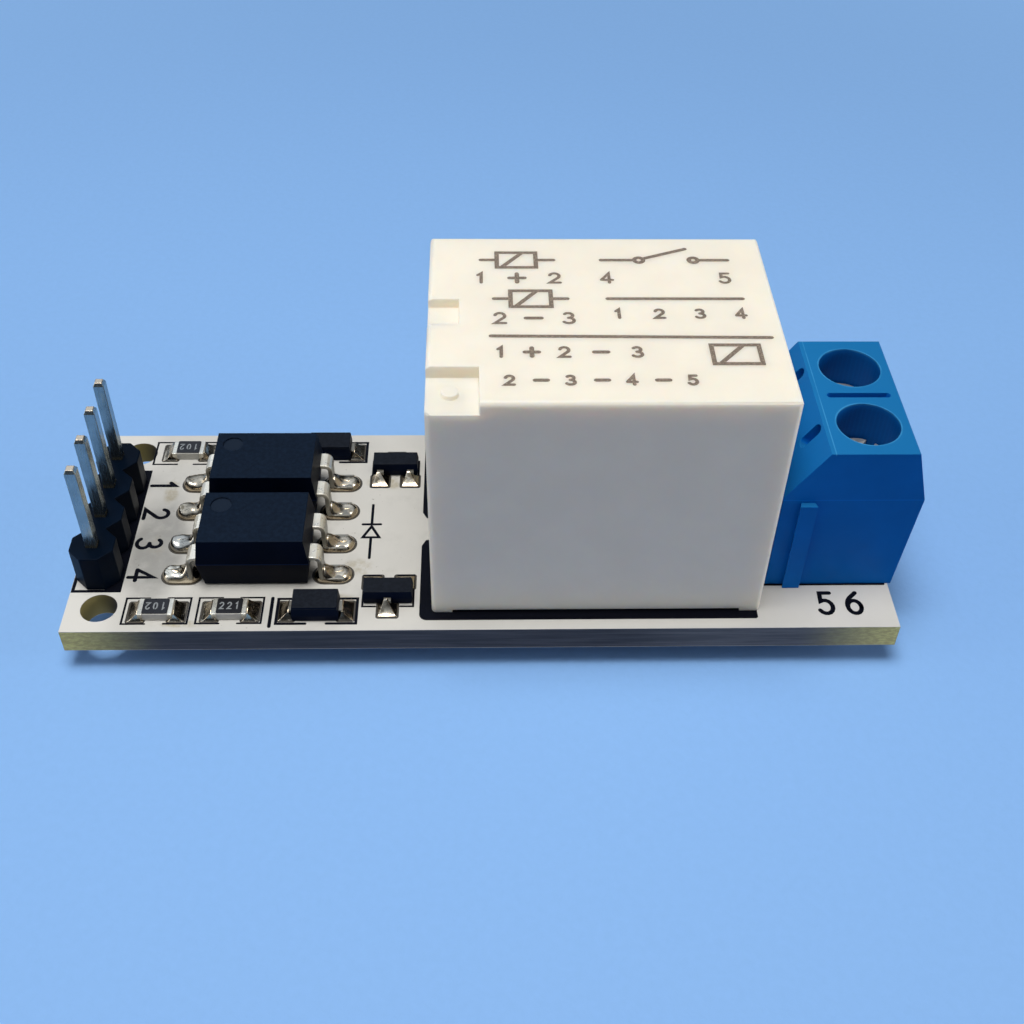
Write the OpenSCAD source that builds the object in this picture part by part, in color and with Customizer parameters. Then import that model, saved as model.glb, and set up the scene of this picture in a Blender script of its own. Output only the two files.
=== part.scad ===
// Relay module board: a small printed circuit board that carries a latching relay,
// a two-pole screw terminal block, a four-pin header, two optocouplers and a few
// surface-mounted parts. Sizes are in millimetres.
//
// Board coordinates: X runs from the header end to the terminal end, Y from the front
// long edge to the rear one, and Z = 0 is the top face of the board. In the part's own
// frame the origin lies under the middle of the part, on the surface that it stands on.

/* [Board] */
// Thickness of the laminate
board_t = 1.6; // [1:0.1:2.4]
// Diameter of the two mounting holes
hole_d = 2.1; // [1.5:0.1:2.4]
// Distance of the mounting holes from the header end
hole_x = 1.9; // [1.5:0.1:2.2]
// Distance of each mounting hole from the long edge beside it
hole_inset = 1.8; // [1.4:0.1:1.9]
// How far the trimmed leads stand out under the board
tail = 1.5; // [1.3:0.1:2.5]

/* [Header] */
// Number of header pins
pin_count = 4; // [2:1:4]
// Distance between header pins
pin_pitch = 2.54; // [2.3:0.02:2.6]
// Side of a square header pin
pin_w = 0.64; // [0.5:0.02:0.68]
// Height of the header's plastic
header_h = 2.54; // [2:0.1:3.5]
// Length of the pins above the plastic
pin_above = 5.9; // [4:0.1:12]
// Gap from the board's end to the plastic
header_margin = 0.22; // [0.1:0.02:0.8]

/* [Optocouplers] */
// Length of an optocoupler body, from lead row to lead row
opto_l = 6.5; // [5.5:0.1:7]
// Width of an optocoupler body
opto_w = 4.58; // [4.2:0.02:4.8]
// Height of the top face above the board
opto_h = 3.6; // [3:0.1:4.5]
// Distance over the tips of the leads
opto_span = 10.3; // [9.6:0.1:11]
// Gap between the two bodies
opto_gap = 0.8; // [0.4:0.1:0.9]
// Gap from the header's plastic to the tips of the leads
opto_clear = 2.81; // [1.5:0.01:4]
// Width of an optocoupler lead
opto_lead_w = 1.2; // [0.6:0.1:1.4]

/* [Small parts] */
// Length of a chip resistor
chip_l = 2.0; // [1.6:0.1:2.6]
// Width of a chip resistor
chip_w = 1.25; // [0.8:0.05:1.6]
// Height of a chip resistor
chip_h = 0.5; // [0.35:0.05:0.8]
// Length of a diode body
diode_l = 2.7; // [2.2:0.1:3]
// Width of a diode body
diode_w = 1.6; // [1.2:0.1:1.8]
// Height of a diode body
diode_h = 1.15; // [0.8:0.05:1.5]
// Length of a transistor body
sot_l = 2.9; // [2.4:0.1:3.2]
// Width of a transistor body
sot_w = 1.3; // [1:0.05:1.5]
// Height of a transistor body
sot_h = 1.0; // [0.8:0.05:1.4]

/* [Relay case] */
// Length of the relay
relay_l = 19; // [18.6:0.1:24]
// Width of the relay
relay_w = 15.2; // [14.6:0.1:18]
// Height of the relay
relay_h = 15.5; // [14.4:0.1:20]
// Thickness of the cover's side walls
relay_wall = 0.8; // [0.6:0.05:1]
// Thickness of the cover's roof
relay_roof = 1.2; // [1:0.05:1.5]
// Thickness of the relay's base
relay_base_t = 1.8; // [1.4:0.1:2]
// Gap from the transistors to the relay
relay_clear = 1.11; // [0.8:0.01:3]
// Strip of board left in front of the relay
relay_front = 1.3; // [0.8:0.1:3]
// Strip of board left behind the relay
relay_rear = 0.5; // [0.3:0.1:3]

/* [Relay works] */
// Diameter over a coil
coil_d = 9.4; // [7:0.1:9.6]
// Diameter of the iron core
core_d = 3; // [2:0.1:3.6]
// Thickness of the yoke
yoke_t = 1.1; // [0.8:0.05:1.2]
// Width of the yoke and the armature
yoke_w = 8; // [6.4:0.1:9]
// Thickness of the armature
armature_t = 1.0; // [0.7:0.05:1.1]
// Angle by which the armature stands off the core when the contact is open
armature_lift = 3; // [1.5:0.1:3.2]
// Diameter of the contacts
contact_d = 2.2; // [1.6:0.1:2.6]

/* [Terminal block] */
// Number of poles
poles = 2; // [1:1:2]
// Distance between poles
pole_pitch = 5.08; // [5:0.02:5.6]
// Depth of the housing at its foot
term_foot = 7.5; // [7.4:0.05:8.6]
// Height of the housing
term_h = 10.2; // [9.8:0.1:13]
// Depth of the flat top
term_top = 4.85; // [4.6:0.05:5.2]
// Diameter of a screwdriver hole
bore_d = 3.55; // [3.4:0.05:3.8]
// Diameter of a screw head
head_d = 3.3; // [3.1:0.05:3.35]
// Depth of the underside of a screw head below the top
head_sink = 3.2; // [2.6:0.1:3.4]
// Diameter of a screw's thread
screw_d = 2.5; // [2:0.1:2.6]
// How far a clamp rises as its screw is turned in
clamp_rise = 1.5; // [0.5:0.1:1.6]
// Gap between the relay and the terminal block
term_clear = 0.66; // [0.4:0.02:2]
// How far the terminal block's foot stands over the board's end
term_over = 0.2; // [0:0.05:0.6]

/* [Hidden] */
$fn = 48;
eps = 0.01;
overcut = 1;

// Clearances that neighbouring pieces share
fit_gap = 0.05;
slide_gap = 0.1;
wrap_gap = 0.02;

// Header
header_cx = header_margin + pin_pitch / 2;
header_end = header_margin + pin_pitch;
pin_tip = 0.22;
pin_top = header_h + pin_above;
pin_hole_d = pin_w * sqrt(2) + 0.1;

// Places along the board
opto_cx = header_end + opto_clear + opto_span / 2;
header_to_chip = 1.54;
chip_gap = 2.2;
chip_3_shift = 0.25;
chip_to_diode = 2.55;
diode_2_shift = 0.2;
opto_to_sot = 1.16;
chip_1_cx = header_end + header_to_chip + chip_l / 2;
chip_2_cx = chip_1_cx + chip_l + chip_gap;
chip_3_cx = chip_1_cx - chip_3_shift;
diode_1_cx = chip_2_cx + chip_l / 2 + chip_to_diode + diode_l / 2;
diode_2_cx = diode_1_cx - diode_2_shift;
sot_cx = opto_cx + opto_span / 2 + opto_to_sot + sot_l / 2;
relay_x = sot_cx + sot_l / 2 + relay_clear;
term_x = relay_x + relay_l + term_clear;
board_l = term_x + term_foot - term_over;

// Places across the board
board_w = relay_front + relay_w + relay_rear;
row_shift = 0.2;
row_cy = board_w / 2 - row_shift;
opto_step = opto_w + opto_gap;
opto_1_cy = row_cy - opto_step / 2;
opto_2_cy = row_cy + opto_step / 2;
front_row_inset = 1.45;
rear_row_inset = 1.75;
sot_1_inset = 2.6;
sot_2_inset = 3.4;
front_row_cy = front_row_inset;
rear_row_cy = board_w - rear_row_inset;
sot_1_cy = sot_1_inset;
sot_2_cy = board_w - sot_2_inset;
term_w = poles * pole_pitch;
term_y = board_w / 2 - term_w / 2;

// The part's own frame
term_lean = 0.45;
term_bulge = term_foot + term_lean;
term_bulge_z = 6.8;
part_l = max(board_l, term_x + term_bulge);
stand = board_t + tail;

// Leads of the surface-mounted parts
lead_t = 0.25;
lead_z = 0.02;
opto_row = 2.54;
opto_seam = 1.95;
opto_off = 0.1;
opto_leg = opto_l / 2 + 0.55;
sot_row = 1.9;
sot_span = 2.5;
sot_lead_w = 0.42;
sot_lead_t = 0.13;
diode_span = 3.8;
diode_lead_w = 0.75;
cap_l = 0.3;
coat_t = 0.04;
coat_lap = 0.03;
coat_inset = 0.05;
dot_d = 1.2;
dot_depth = 0.1;
dot_inset = 1.25;

// Relay: U and V are the relay's own X and Y from its front left corner
inner_l = relay_l - 2 * relay_wall;
inner_w = relay_w - 2 * relay_wall;
ceiling = relay_h - relay_roof;
base_lift = 0.3;
base_top = base_lift + relay_base_t;
spring_t = 0.25;
spring_w = 5;
spring_clear = 0.45;
spring_tail = 4;
spring_over = 0.2;
spring_u = relay_wall + spring_clear;
yoke_u = spring_u + spring_t + wrap_gap;
flange_t = 0.7;
flange_side = 0.3;
flange_end = 0.9;
flange_clear = 0.2;
flange_l = coil_d + 2 * flange_side;
flange_w = coil_d + 2 * flange_end;
flange_u = yoke_u + yoke_t + flange_clear;
coil_u = flange_u + flange_l / 2;
mid_v = relay_w / 2;
tube_wall = 0.7;
tube_d = core_d + 2 * tube_wall;
pole_t = 0.5;
pole_over = 1.3;
pole_d = core_d + 2 * pole_over;
magnet_t = 1.0;
armature_over = 0.4;
armature_l = coil_u + pole_d / 2 + armature_over - yoke_u;
strip_t = 0.6;
strip_w = 1.0;
strip_clear = 0.4;
strip_u = relay_l - relay_wall - strip_clear - strip_t;
contact_clear = 0.3;
contact_u = strip_u - contact_clear - contact_d / 2;
contact_t = 0.8;
contact_drop = 1.1;
contact_cap = 0.33;
contact_cap_in = 0.2;
rivet_d = 1.2;

// Heights of the relay's works: the coils fill what the other pieces leave below the roof,
// with room overhead for the end of the contact spring when it is lifted
overhead = 0.68;
reach = contact_u + contact_d / 2 + spring_over - yoke_u;
lift_room = reach * sin(armature_lift) + spring_t + contact_cap;
hinge_z = ceiling - overhead - lift_room - armature_t;
yoke_top = hinge_z - wrap_gap;
pole_z = yoke_top - pole_t;
flange_2_z = pole_z - flange_t;
flange_z = base_top + yoke_t;
coil_z = flange_z + flange_t;
coil_h = flange_2_z - coil_z;
spring_z = hinge_z + armature_t;
ear_t = 0.5;
ear_w = 0.4;
ear_v = spring_w / 2 + slide_gap + ear_w / 2;
notch_w = 2 * ear_v + ear_w + 2 * slide_gap;
notch_l = ear_t + 2 * slide_gap;
ear_short = 0.2;
yoke_over = 0.8;
fixed_top = spring_z - contact_drop - wrap_gap;
post_w = 0.6;
post_in = 0.8;
post_rise = 0.8;
arm_w = 4;
arm_over = 0.2;
strip_hole_d = 1.4;
post_hole_d = 1.0;
coil_posts = [
    [flange_u + post_in, mid_v - flange_w / 2 + post_in],
    [flange_u + flange_l - post_in, mid_v - flange_w / 2 + post_in],
    [flange_u + flange_l - post_in, mid_v + flange_w / 2 - post_in]
];
common_u = yoke_u + yoke_t / 2;
common_foot_w = 2.6;
common_foot_t = 0.5;

// Recesses in the roof of the relay's cover
corner_recess = [2.76, 3.0, 0.75];
edge_recess = [1.7, 2.3, 0.6];
edge_recess_v = 6.7;
nib_d = 0.9;
nib_h = 0.25;
nib_at = [1.26, 1.6];
case_round = 0.3;
// Skirt of the relay's cover, raised between its corner feet
skirt_lift = 0.2;
skirt_foot = 1.2;

// Terminal block: P is its own X from the relay side
term_brow = 1.0;
term_top_p = term_bulge - term_brow - term_top;
slope_z = 7.0;
screw_shift = 0.12;
screw_p = term_top_p + term_top / 2 + screw_shift;
cage_l = 3.8;
cage_w = 3.6;
cage_wall = 0.45;
cage_floor = 0.6;
cage_roof = 0.7;
cage_z = 0.9;
bay_w = cage_w + 2 * slide_gap;
bay_floor = 0.8;
plate_t = 0.7;
plate_w = cage_w - 2 * cage_wall - 2 * slide_gap;
pinch = 0.3;
plate_z = cage_z + cage_floor + clamp_rise + pinch;
leg_t = 0.65;
leg_w = 1.0;
leg_clear = 0.15;
leg_p = screw_p - cage_l / 2 - leg_clear - leg_t;
plate_short = 0.2;
plate_end_p = screw_p + cage_l / 2 - plate_short;
bay_p = leg_p - fit_gap;
bay_clear = 0.35;
bay_end_p = screw_p + cage_l / 2 + bay_clear;
cage_roof_z = plate_z + plate_t + slide_gap;
bay_top = cage_roof_z + cage_roof + clamp_rise + slide_gap;
head_z = term_h - head_sink;
head_t = 0.8;
slot_w = 0.5;
slot_turn = [55, 20];
slot_depth = 0.4;
entry_w = 3.0;
entry_under = 0.3;
entry_over = 0.4;
entry_low = cage_z + entry_under;
entry_high = plate_z + entry_over;
entry_flare = 0.35;
slope_slot_l = 1.7;
slope_slot_w = 0.74;
slope_slot_depth = 0.6;
slope_slot_shift = 0.18;
groove_w = 0.4;
groove_l = 3.65;
groove_depth = 0.5;
ridge_r = 0.16;
ridge_step = 1;
leg_hole_d = 1.4;
rib_p = 0.95;
rib_neck = 0.8;
rib_out = 1.0;
rib_depth = 0.35;
rib_h = 6.6;

// Solder
joint_over = 0.35;
joint_skin = 0.08;
joint_short = 0.4;
joint_h = tail - joint_short;
// Beads over the pads as [length, width, height, distance from the body or its lead's leg]
opto_bead = [1.9, opto_lead_w + 0.1, 0.42, 0.45];
diode_bead = [1.1, 0.9, 0.36, 0.48];
sot_bead = [0.9, 0.8, 0.4, 0.6];
chip_bead = [0.9, 0.86, 0.4, 0];

// ---------------------------------------------------------------- places

module part_frame() {
    translate([-part_l / 2, -board_w / 2, stand]) children();
}

module at_relay() {
    translate([relay_x, relay_front, 0]) children();
}

module at_term() {
    translate([term_x, term_y, 0]) children();
}

module at_pole(i) {
    at_term() translate([screw_p, (i - 0.5) * pole_pitch, 0]) children();
}

// Turns what is drawn closed by the armature's stand-off angle, about its hinge edge
module at_hinge() {
    at_relay() translate([yoke_u, 0, hinge_z]) rotate([0, -armature_lift, 0])
        translate([-yoke_u, 0, -hinge_z]) children();
}

function pin_y(i) = row_cy + (i - (pin_count + 1) / 2) * pin_pitch;

// ---------------------------------------------------------------- shapes

function unit(v) = v / norm(v);
function turned(v) = [-v[1], v[0]];
function heading(path, i) = unit(path[i + 1] - path[i]);

// The point of a path's edge, half a thickness to one side of point i
function edge_point(path, i, side) =
    let (
        last = len(path) - 1,
        before = turned(heading(path, max(i - 1, 0))),
        after = turned(heading(path, min(i, last - 1))),
        mean = unit(before + after)
    )
    path[i] + mean * side / (mean * before);

// Outline of a strip of even thickness whose middle follows a path
function ribbon(path, t) = concat(
    [for (i = [0 : len(path) - 1]) edge_point(path, i, t / 2)],
    [for (i = [len(path) - 1 : -1 : 0]) edge_point(path, i, -t / 2)]
);

// Points of an arc, for a rounded bend
function bend(centre, r, from, to, steps = 4) =
    [for (k = [0 : steps]) let (a = from + (to - from) * k / steps)
        centre + r * [cos(a), sin(a)]];

// Stands an outline drawn in X and Z upright and gives it a width along Y
module across(w) {
    translate([0, w / 2, 0]) rotate([90, 0, 0]) linear_extrude(w) children();
}

// Rectangle with round corners
module rounded(l, w, r) {
    translate([r, 0]) square([l - 2 * r, w]);
    translate([0, r]) square([l, w - 2 * r]);
    for (x = [r, l - r], y = [r, w - r]) translate([x, y]) circle(r);
}

// Rectangle with round corners at the top only
module arched(l, h, r) {
    square([l, h - r]);
    translate([r, 0]) square([l - 2 * r, h]);
    for (x = [r, l - r]) translate([x, h - r]) circle(r);
}

// Block whose upright and top edges are rounded
module soft_block(l, w, h, r) {
    intersection() {
        linear_extrude(h) rounded(l, w, r);
        translate([0, w, 0]) rotate([90, 0, 0]) linear_extrude(w) arched(l, h, r);
        rotate([90, 0, 90]) linear_extrude(l) arched(w, h, r);
    }
}

// Six-sided outline of a moulded package: widest at the seam, drawn in at top and bottom
function draft_outline(w, low, seam, high, slope) = [
    [-w / 2 + (seam - low) * slope, low], [w / 2 - (seam - low) * slope, low],
    [w / 2, seam],
    [w / 2 - (high - seam) * slope, high], [-w / 2 + (high - seam) * slope, high],
    [-w / 2, seam]
];

// Moulded package body, centred on X and Y
module package(l, w, low, seam, high, slope) {
    intersection() {
        across(w + overcut) polygon(draft_outline(l, low, seam, high, slope));
        rotate([0, 0, 90]) across(l + overcut)
            polygon(draft_outline(w, low, seam, high, slope));
    }
}

// Rectangular block that is centred on X and Y and runs from one height to another
module pillar(l, w, low, high) {
    translate([-l / 2, -w / 2, low]) cube([l, w, high - low]);
}

// Square post, cut off flat below and tapered to a blunt point above
module pointed_post(w, low, high, tip) {
    side = w / 2;
    narrow = side - tip / 2;
    outline = [
        [-side, low], [side, low], [side, high - tip],
        [narrow, high], [-narrow, high], [-side, high - tip]
    ];
    intersection() {
        across(w) polygon(outline);
        rotate([0, 0, 90]) across(w) polygon(outline);
    }
}

// ---------------------------------------------------------------- board

module drill(x, y, d) {
    translate([x, y, -board_t - overcut]) cylinder(d = d, h = board_t + 2 * overcut);
}

module board() {
    color("whitesmoke") difference() {
        translate([0, 0, -board_t]) cube([board_l, board_w, board_t]);
        for (y = [hole_inset, board_w - hole_inset]) drill(hole_x, y, hole_d);
        for (i = [1 : pin_count]) drill(header_cx, pin_y(i), pin_hole_d);
        for (p = coil_posts) drill(relay_x + p[0], relay_front + p[1], post_hole_d);
        drill(relay_x + common_u, relay_front + mid_v, strip_hole_d);
        drill(relay_x + strip_u + strip_t / 2, relay_front + mid_v, strip_hole_d);
        for (i = [1 : poles])
            drill(term_x + leg_p + leg_t / 2, term_y + (i - 0.5) * pole_pitch, leg_hole_d);
    }
}

// ---------------------------------------------------------------- header

module header_housing() {
    cell_d = pin_pitch / cos(22.5);
    color("#141618") difference() {
        for (i = [1 : pin_count]) translate([header_cx, pin_y(i), 0])
            linear_extrude(header_h) rotate(22.5) circle(d = cell_d, $fn = 8);
        for (i = [1 : pin_count]) translate([header_cx, pin_y(i), header_h / 2])
            cube([pin_w, pin_w, header_h + overcut], center = true);
    }
}

module header_pin(i) {
    if (i <= pin_count) color("gainsboro") translate([header_cx, pin_y(i), 0])
        pointed_post(pin_w, -stand, pin_top, pin_tip);
}

// ---------------------------------------------------------------- optocouplers

module at_opto(rear) {
    translate([opto_cx, rear ? opto_2_cy : opto_1_cy, 0]) children();
}

module opto_body(rear) {
    color("#1c2026") at_opto(rear) difference() {
        package(opto_l, opto_w, opto_off, opto_seam, opto_h, 0.14);
        translate([-opto_l / 2 + dot_inset, opto_w / 2 - dot_inset, opto_h - dot_depth])
            cylinder(d = dot_d, h = dot_depth + overcut);
        for (side = [-1, 1], row = [-1, 1])
            translate([side * opto_l / 2, row * opto_row / 2, opto_seam])
                cube([1.2, opto_lead_w, lead_t], center = true);
    }
}

// Gull-wing lead on the +X side: shoulder, leg and foot
module gull_lead() {
    foot_z = lead_z + lead_t / 2;
    r = 0.35;
    path = concat(
        [[opto_l / 2 - 0.6, opto_seam]],
        bend([opto_leg - r, opto_seam - r], r, 90, 0),
        bend([opto_leg + r, foot_z + r], r, 180, 270),
        [[opto_span / 2, foot_z]]
    );
    across(opto_lead_w) polygon(ribbon(path, lead_t));
}

module opto_leads(rear) {
    color("silver") at_opto(rear)
        for (turn = [0, 180], row = [-1, 1]) rotate([0, 0, turn])
            translate([0, row * opto_row / 2, 0]) gull_lead();
}

// ---------------------------------------------------------------- small parts

chip_places = [
    [chip_1_cx, front_row_cy], [chip_2_cx, front_row_cy], [chip_3_cx, rear_row_cy]
];

module at_chip(i) {
    translate([chip_places[i - 1][0], chip_places[i - 1][1], lead_z]) children();
}

module chip_body(i) {
    core_l = chip_l - 2 * cap_l;
    color("white") at_chip(i) translate([-core_l / 2, -chip_w / 2, 0])
        cube([core_l, chip_w, chip_h]);
}

module chip_caps(i) {
    color("silver") at_chip(i) for (side = [-1, 1])
        translate([side * (chip_l - cap_l) / 2, 0, chip_h / 2])
            cube([cap_l, chip_w, chip_h], center = true);
}

module chip_coat(i) {
    coat_l = chip_l - 2 * cap_l + 2 * coat_lap;
    coat_w = chip_w - 2 * coat_inset;
    color("#17181a") at_chip(i) translate([-coat_l / 2, -coat_w / 2, chip_h])
        linear_extrude(coat_t) rounded(coat_l, coat_w, 0.12);
}

module at_diode(rear) {
    translate([rear ? diode_2_cx : diode_1_cx, rear ? rear_row_cy : front_row_cy, 0])
        children();
}

module diode_body(rear) {
    color("#1d1f24") at_diode(rear) difference() {
        package(diode_l, diode_w, 0.04, diode_h * 0.4, diode_h, 0.1);
        for (side = [-1, 1]) translate([side * diode_l / 2, 0, diode_h * 0.4])
            cube([0.6, diode_lead_w, sot_lead_t], center = true);
    }
}

module diode_lead() {
    foot_z = lead_z + sot_lead_t / 2;
    path = [
        [diode_l / 2 - 0.3, diode_h * 0.4],
        [diode_l / 2 + 0.12, diode_h * 0.4],
        [diode_l / 2 + 0.2, foot_z],
        [diode_span / 2, foot_z]
    ];
    across(diode_lead_w) polygon(ribbon(path, sot_lead_t));
}

module diode_leads(rear) {
    color("silver") at_diode(rear) for (turn = [0, 180]) rotate([0, 0, turn]) diode_lead();
}

// The two transistors have their pair of leads towards the middle of the board
module at_sot(rear) {
    translate([sot_cx, rear ? sot_2_cy : sot_1_cy, 0]) rotate([0, 0, rear ? 180 : 0])
        children();
}

// Each lead of a transistor as [place along the body, side it leaves on]
sot_leads = [[-sot_row / 2, 1], [sot_row / 2, 1], [0, -1]];

module sot_body(rear) {
    color("#15181d") at_sot(rear) difference() {
        package(sot_l, sot_w, 0.05, sot_h * 0.5, sot_h, 0.14);
        for (l = sot_leads) translate([l[0], l[1] * sot_w / 2, sot_h * 0.5])
            cube([sot_lead_w, 0.5, sot_lead_t], center = true);
    }
}

module sot_lead() {
    foot_z = lead_z + sot_lead_t / 2;
    path = [
        [sot_w / 2 - 0.25, sot_h * 0.5],
        [sot_w / 2 + 0.14, sot_h * 0.5],
        [sot_w / 2 + 0.24, foot_z],
        [sot_span / 2, foot_z]
    ];
    across(sot_lead_w) polygon(ribbon(path, sot_lead_t));
}

module sot_lead_set(rear) {
    color("silver") at_sot(rear) for (l = sot_leads)
        translate([l[0], 0, 0]) rotate([0, 0, l[1] * 90]) sot_lead();
}

// ---------------------------------------------------------------- terminal block

// Side outline of the housing, in P and Z
module term_outline() {
    polygon([
        [0, 0], [term_foot, 0], [term_bulge, term_bulge_z],
        [term_top_p + term_top, term_h], [term_top_p, term_h], [0, slope_z]
    ]);
}

// Dovetail that hooks housings together, drawn in P and Y
module dovetail(grow) {
    polygon([
        [rib_p - grow + (rib_out - rib_neck) / 2, 0],
        [rib_p - grow, -rib_depth - grow],
        [rib_p + rib_out + grow, -rib_depth - grow],
        [rib_p + grow + (rib_out + rib_neck) / 2, 0]
    ]);
}

// Bay that a clamp moves in, with the wire hole in front, the screwdriver hole above and
// between them a shoulder that the screw's head rests on
module pole_cut(i) {
    cy = (i - 0.5) * pole_pitch;
    translate([bay_p, cy - bay_w / 2, bay_floor])
        cube([bay_end_p - bay_p, bay_w, bay_top - bay_floor]);
    translate([screw_p, cy, head_z - wrap_gap]) cylinder(d = bore_d, h = term_h);
    translate([screw_p, cy, bay_top - eps])
        cylinder(d = screw_d + 2 * slide_gap, h = head_z - bay_top + eps);
    translate([bay_end_p - eps, cy - entry_w / 2, entry_low])
        cube([term_bulge, entry_w, entry_high - entry_low]);
    translate([0, cy, 0]) entry_funnel();
    translate([leg_p - fit_gap, cy - leg_w / 2 - fit_gap, -overcut])
        cube([leg_t + 2 * fit_gap, leg_w + 2 * fit_gap, bay_floor + 2 * overcut]);
    translate([0, cy, 0]) slope_slot();
}

// Flare round the mouth of a wire hole
module entry_funnel() {
    flare = entry_flare;
    mid = (entry_low + entry_high) / 2;
    half = (entry_high - entry_low) / 2;
    lean = (term_bulge - term_foot) / term_bulge_z;
    face_p = term_foot + lean * mid;
    intersection() {
        across(entry_w + 2 * flare + overcut) polygon([
            [face_p - flare, mid - half], [face_p + flare, mid - half - 2 * flare],
            [face_p + flare, mid + half + 2 * flare], [face_p - flare, mid + half]
        ]);
        linear_extrude(term_h) polygon([
            [face_p - flare, -entry_w / 2], [face_p + flare, -entry_w / 2 - 2 * flare],
            [face_p + flare, entry_w / 2 + 2 * flare], [face_p - flare, entry_w / 2]
        ]);
    }
}

// Blind slot with round ends in the sloping face on the relay side
module slope_slot() {
    slope = atan2(term_h - slope_z, term_top_p);
    half = (slope_slot_l - slope_slot_w) / 2;
    cut_h = slope_slot_depth + overcut;
    translate([term_top_p, 0, term_h]) rotate([0, -slope, 0])
        translate([-slope_slot_l / 2 - slope_slot_shift, 0, -slope_slot_depth]) {
            translate([-half, -slope_slot_w / 2, 0]) cube([2 * half, slope_slot_w, cut_h]);
            for (side = [-1, 1]) translate([side * half, 0, 0])
                cylinder(d = slope_slot_w, h = cut_h);
        }
}

// Fine groove across the top between two poles
module top_groove() {
    cut_h = groove_depth + overcut;
    translate([screw_p - groove_l / 2, 0, term_h - groove_depth]) {
        translate([groove_w / 2, -groove_w / 2, 0]) cube([groove_l - groove_w, groove_w, cut_h]);
        for (p = [groove_w / 2, groove_l - groove_w / 2]) translate([p, 0, 0])
            cylinder(d = groove_w, h = cut_h);
    }
}

module terminal_housing() {
    color("#1f6fae") at_term() {
        difference() {
            translate([0, term_w / 2, 0]) across(term_w) term_outline();
            for (i = [1 : poles]) pole_cut(i);
            if (poles > 1) for (i = [1 : poles - 1])
                translate([0, i * pole_pitch, 0]) top_groove();
            translate([0, term_w, -eps]) linear_extrude(rib_h + 2 * fit_gap)
                dovetail(fit_gap);
        }
        linear_extrude(rib_h) dovetail(0);
    }
}

// Clamp: a square cage that the screw draws up under the contact plate
module terminal_clamp(i) {
    cage_h = cage_roof_z + cage_roof - cage_z;
    inner_h = cage_roof_z - cage_z - cage_floor;
    if (i <= poles) color("#b9b7b0") at_pole(i) translate([0, 0, cage_z]) difference() {
        translate([0, 0, cage_h / 2]) cube([cage_l, cage_w, cage_h], center = true);
        translate([0, 0, cage_floor + inner_h / 2])
            cube([cage_l + overcut, cage_w - 2 * cage_wall, inner_h], center = true);
        translate([0, 0, cage_h - cage_roof - eps])
            cylinder(d = screw_d, h = cage_roof + overcut);
        for (k = [-1.5 : 1 : 1.5]) translate([k * ridge_step, 0, cage_floor])
            rotate([90, 0, 0])
                cylinder(r = ridge_r, h = cage_w - 2 * cage_wall, center = true);
    }
}

module terminal_screw(i) {
    tip_z = plate_z + plate_t;
    if (i <= poles) color("gainsboro") at_pole(i) difference() {
        union() {
            translate([0, 0, tip_z])
                cylinder(d = screw_d - 2 * fit_gap, h = head_z - tip_z + eps);
            translate([0, 0, head_z]) cylinder(d = head_d, h = head_t);
        }
        translate([0, 0, head_z + head_t]) rotate([0, 0, slot_turn[i - 1]])
            cube([head_d + overcut, slot_w, 2 * slot_depth], center = true);
    }
}

// Contact plate over the wire, bent down at the back into the solder leg
module terminal_pin(i) {
    plate_l = plate_end_p - leg_p;
    if (i <= poles) color("#c9b487") at_pole(i) translate([leg_p - screw_p, 0, 0]) {
        translate([0, -plate_w / 2, plate_z]) cube([plate_l, plate_w, plate_t]);
        translate([0, -leg_w / 2, -stand]) cube([leg_t, leg_w, stand + plate_z + eps]);
    }
}

// ---------------------------------------------------------------- relay case

module relay_cover() {
    color("ivory") at_relay() {
        difference() {
            soft_block(relay_l, relay_w, relay_h, case_round);
            translate([relay_wall, relay_wall, -overcut])
                cube([inner_l, inner_w, ceiling + overcut]);
            translate([skirt_foot, -overcut, -overcut])
                cube([relay_l - 2 * skirt_foot, relay_w + 2 * overcut, skirt_lift + overcut]);
            translate([-overcut, skirt_foot, -overcut])
                cube([relay_l + 2 * overcut, relay_w - 2 * skirt_foot, skirt_lift + overcut]);
            translate([-overcut, -overcut, relay_h - corner_recess[2]])
                cube(corner_recess + [overcut, overcut, overcut]);
            translate([-overcut, edge_recess_v, relay_h - edge_recess[2]])
                cube(edge_recess + [overcut, 0, overcut]);
        }
        translate([nib_at[0], nib_at[1], relay_h - corner_recess[2]])
            cylinder(d = nib_d, h = nib_h);
    }
}

module relay_base() {
    gap = fit_gap;
    color("ivory") at_relay() difference() {
        translate([relay_wall + gap, relay_wall + gap, base_lift])
            cube([inner_l - 2 * gap, inner_w - 2 * gap, relay_base_t]);
        for (p = coil_posts) translate([p[0], p[1], 0])
            pillar(post_w + 2 * gap, post_w + 2 * gap, 0, base_top + overcut);
        for (u = [common_u, strip_u + strip_t / 2]) translate([u, mid_v, 0])
            pillar(strip_t + 2 * gap, strip_w + 2 * gap, 0, base_top + overcut);
        translate([common_u, mid_v, 0]) pillar(yoke_t + 2 * gap, common_foot_w + 2 * gap,
            base_top - common_foot_t, base_top + overcut);
    }
}

// ---------------------------------------------------------------- relay works

module at_coil() {
    at_relay() translate([coil_u, mid_v, 0]) children();
}

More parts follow.
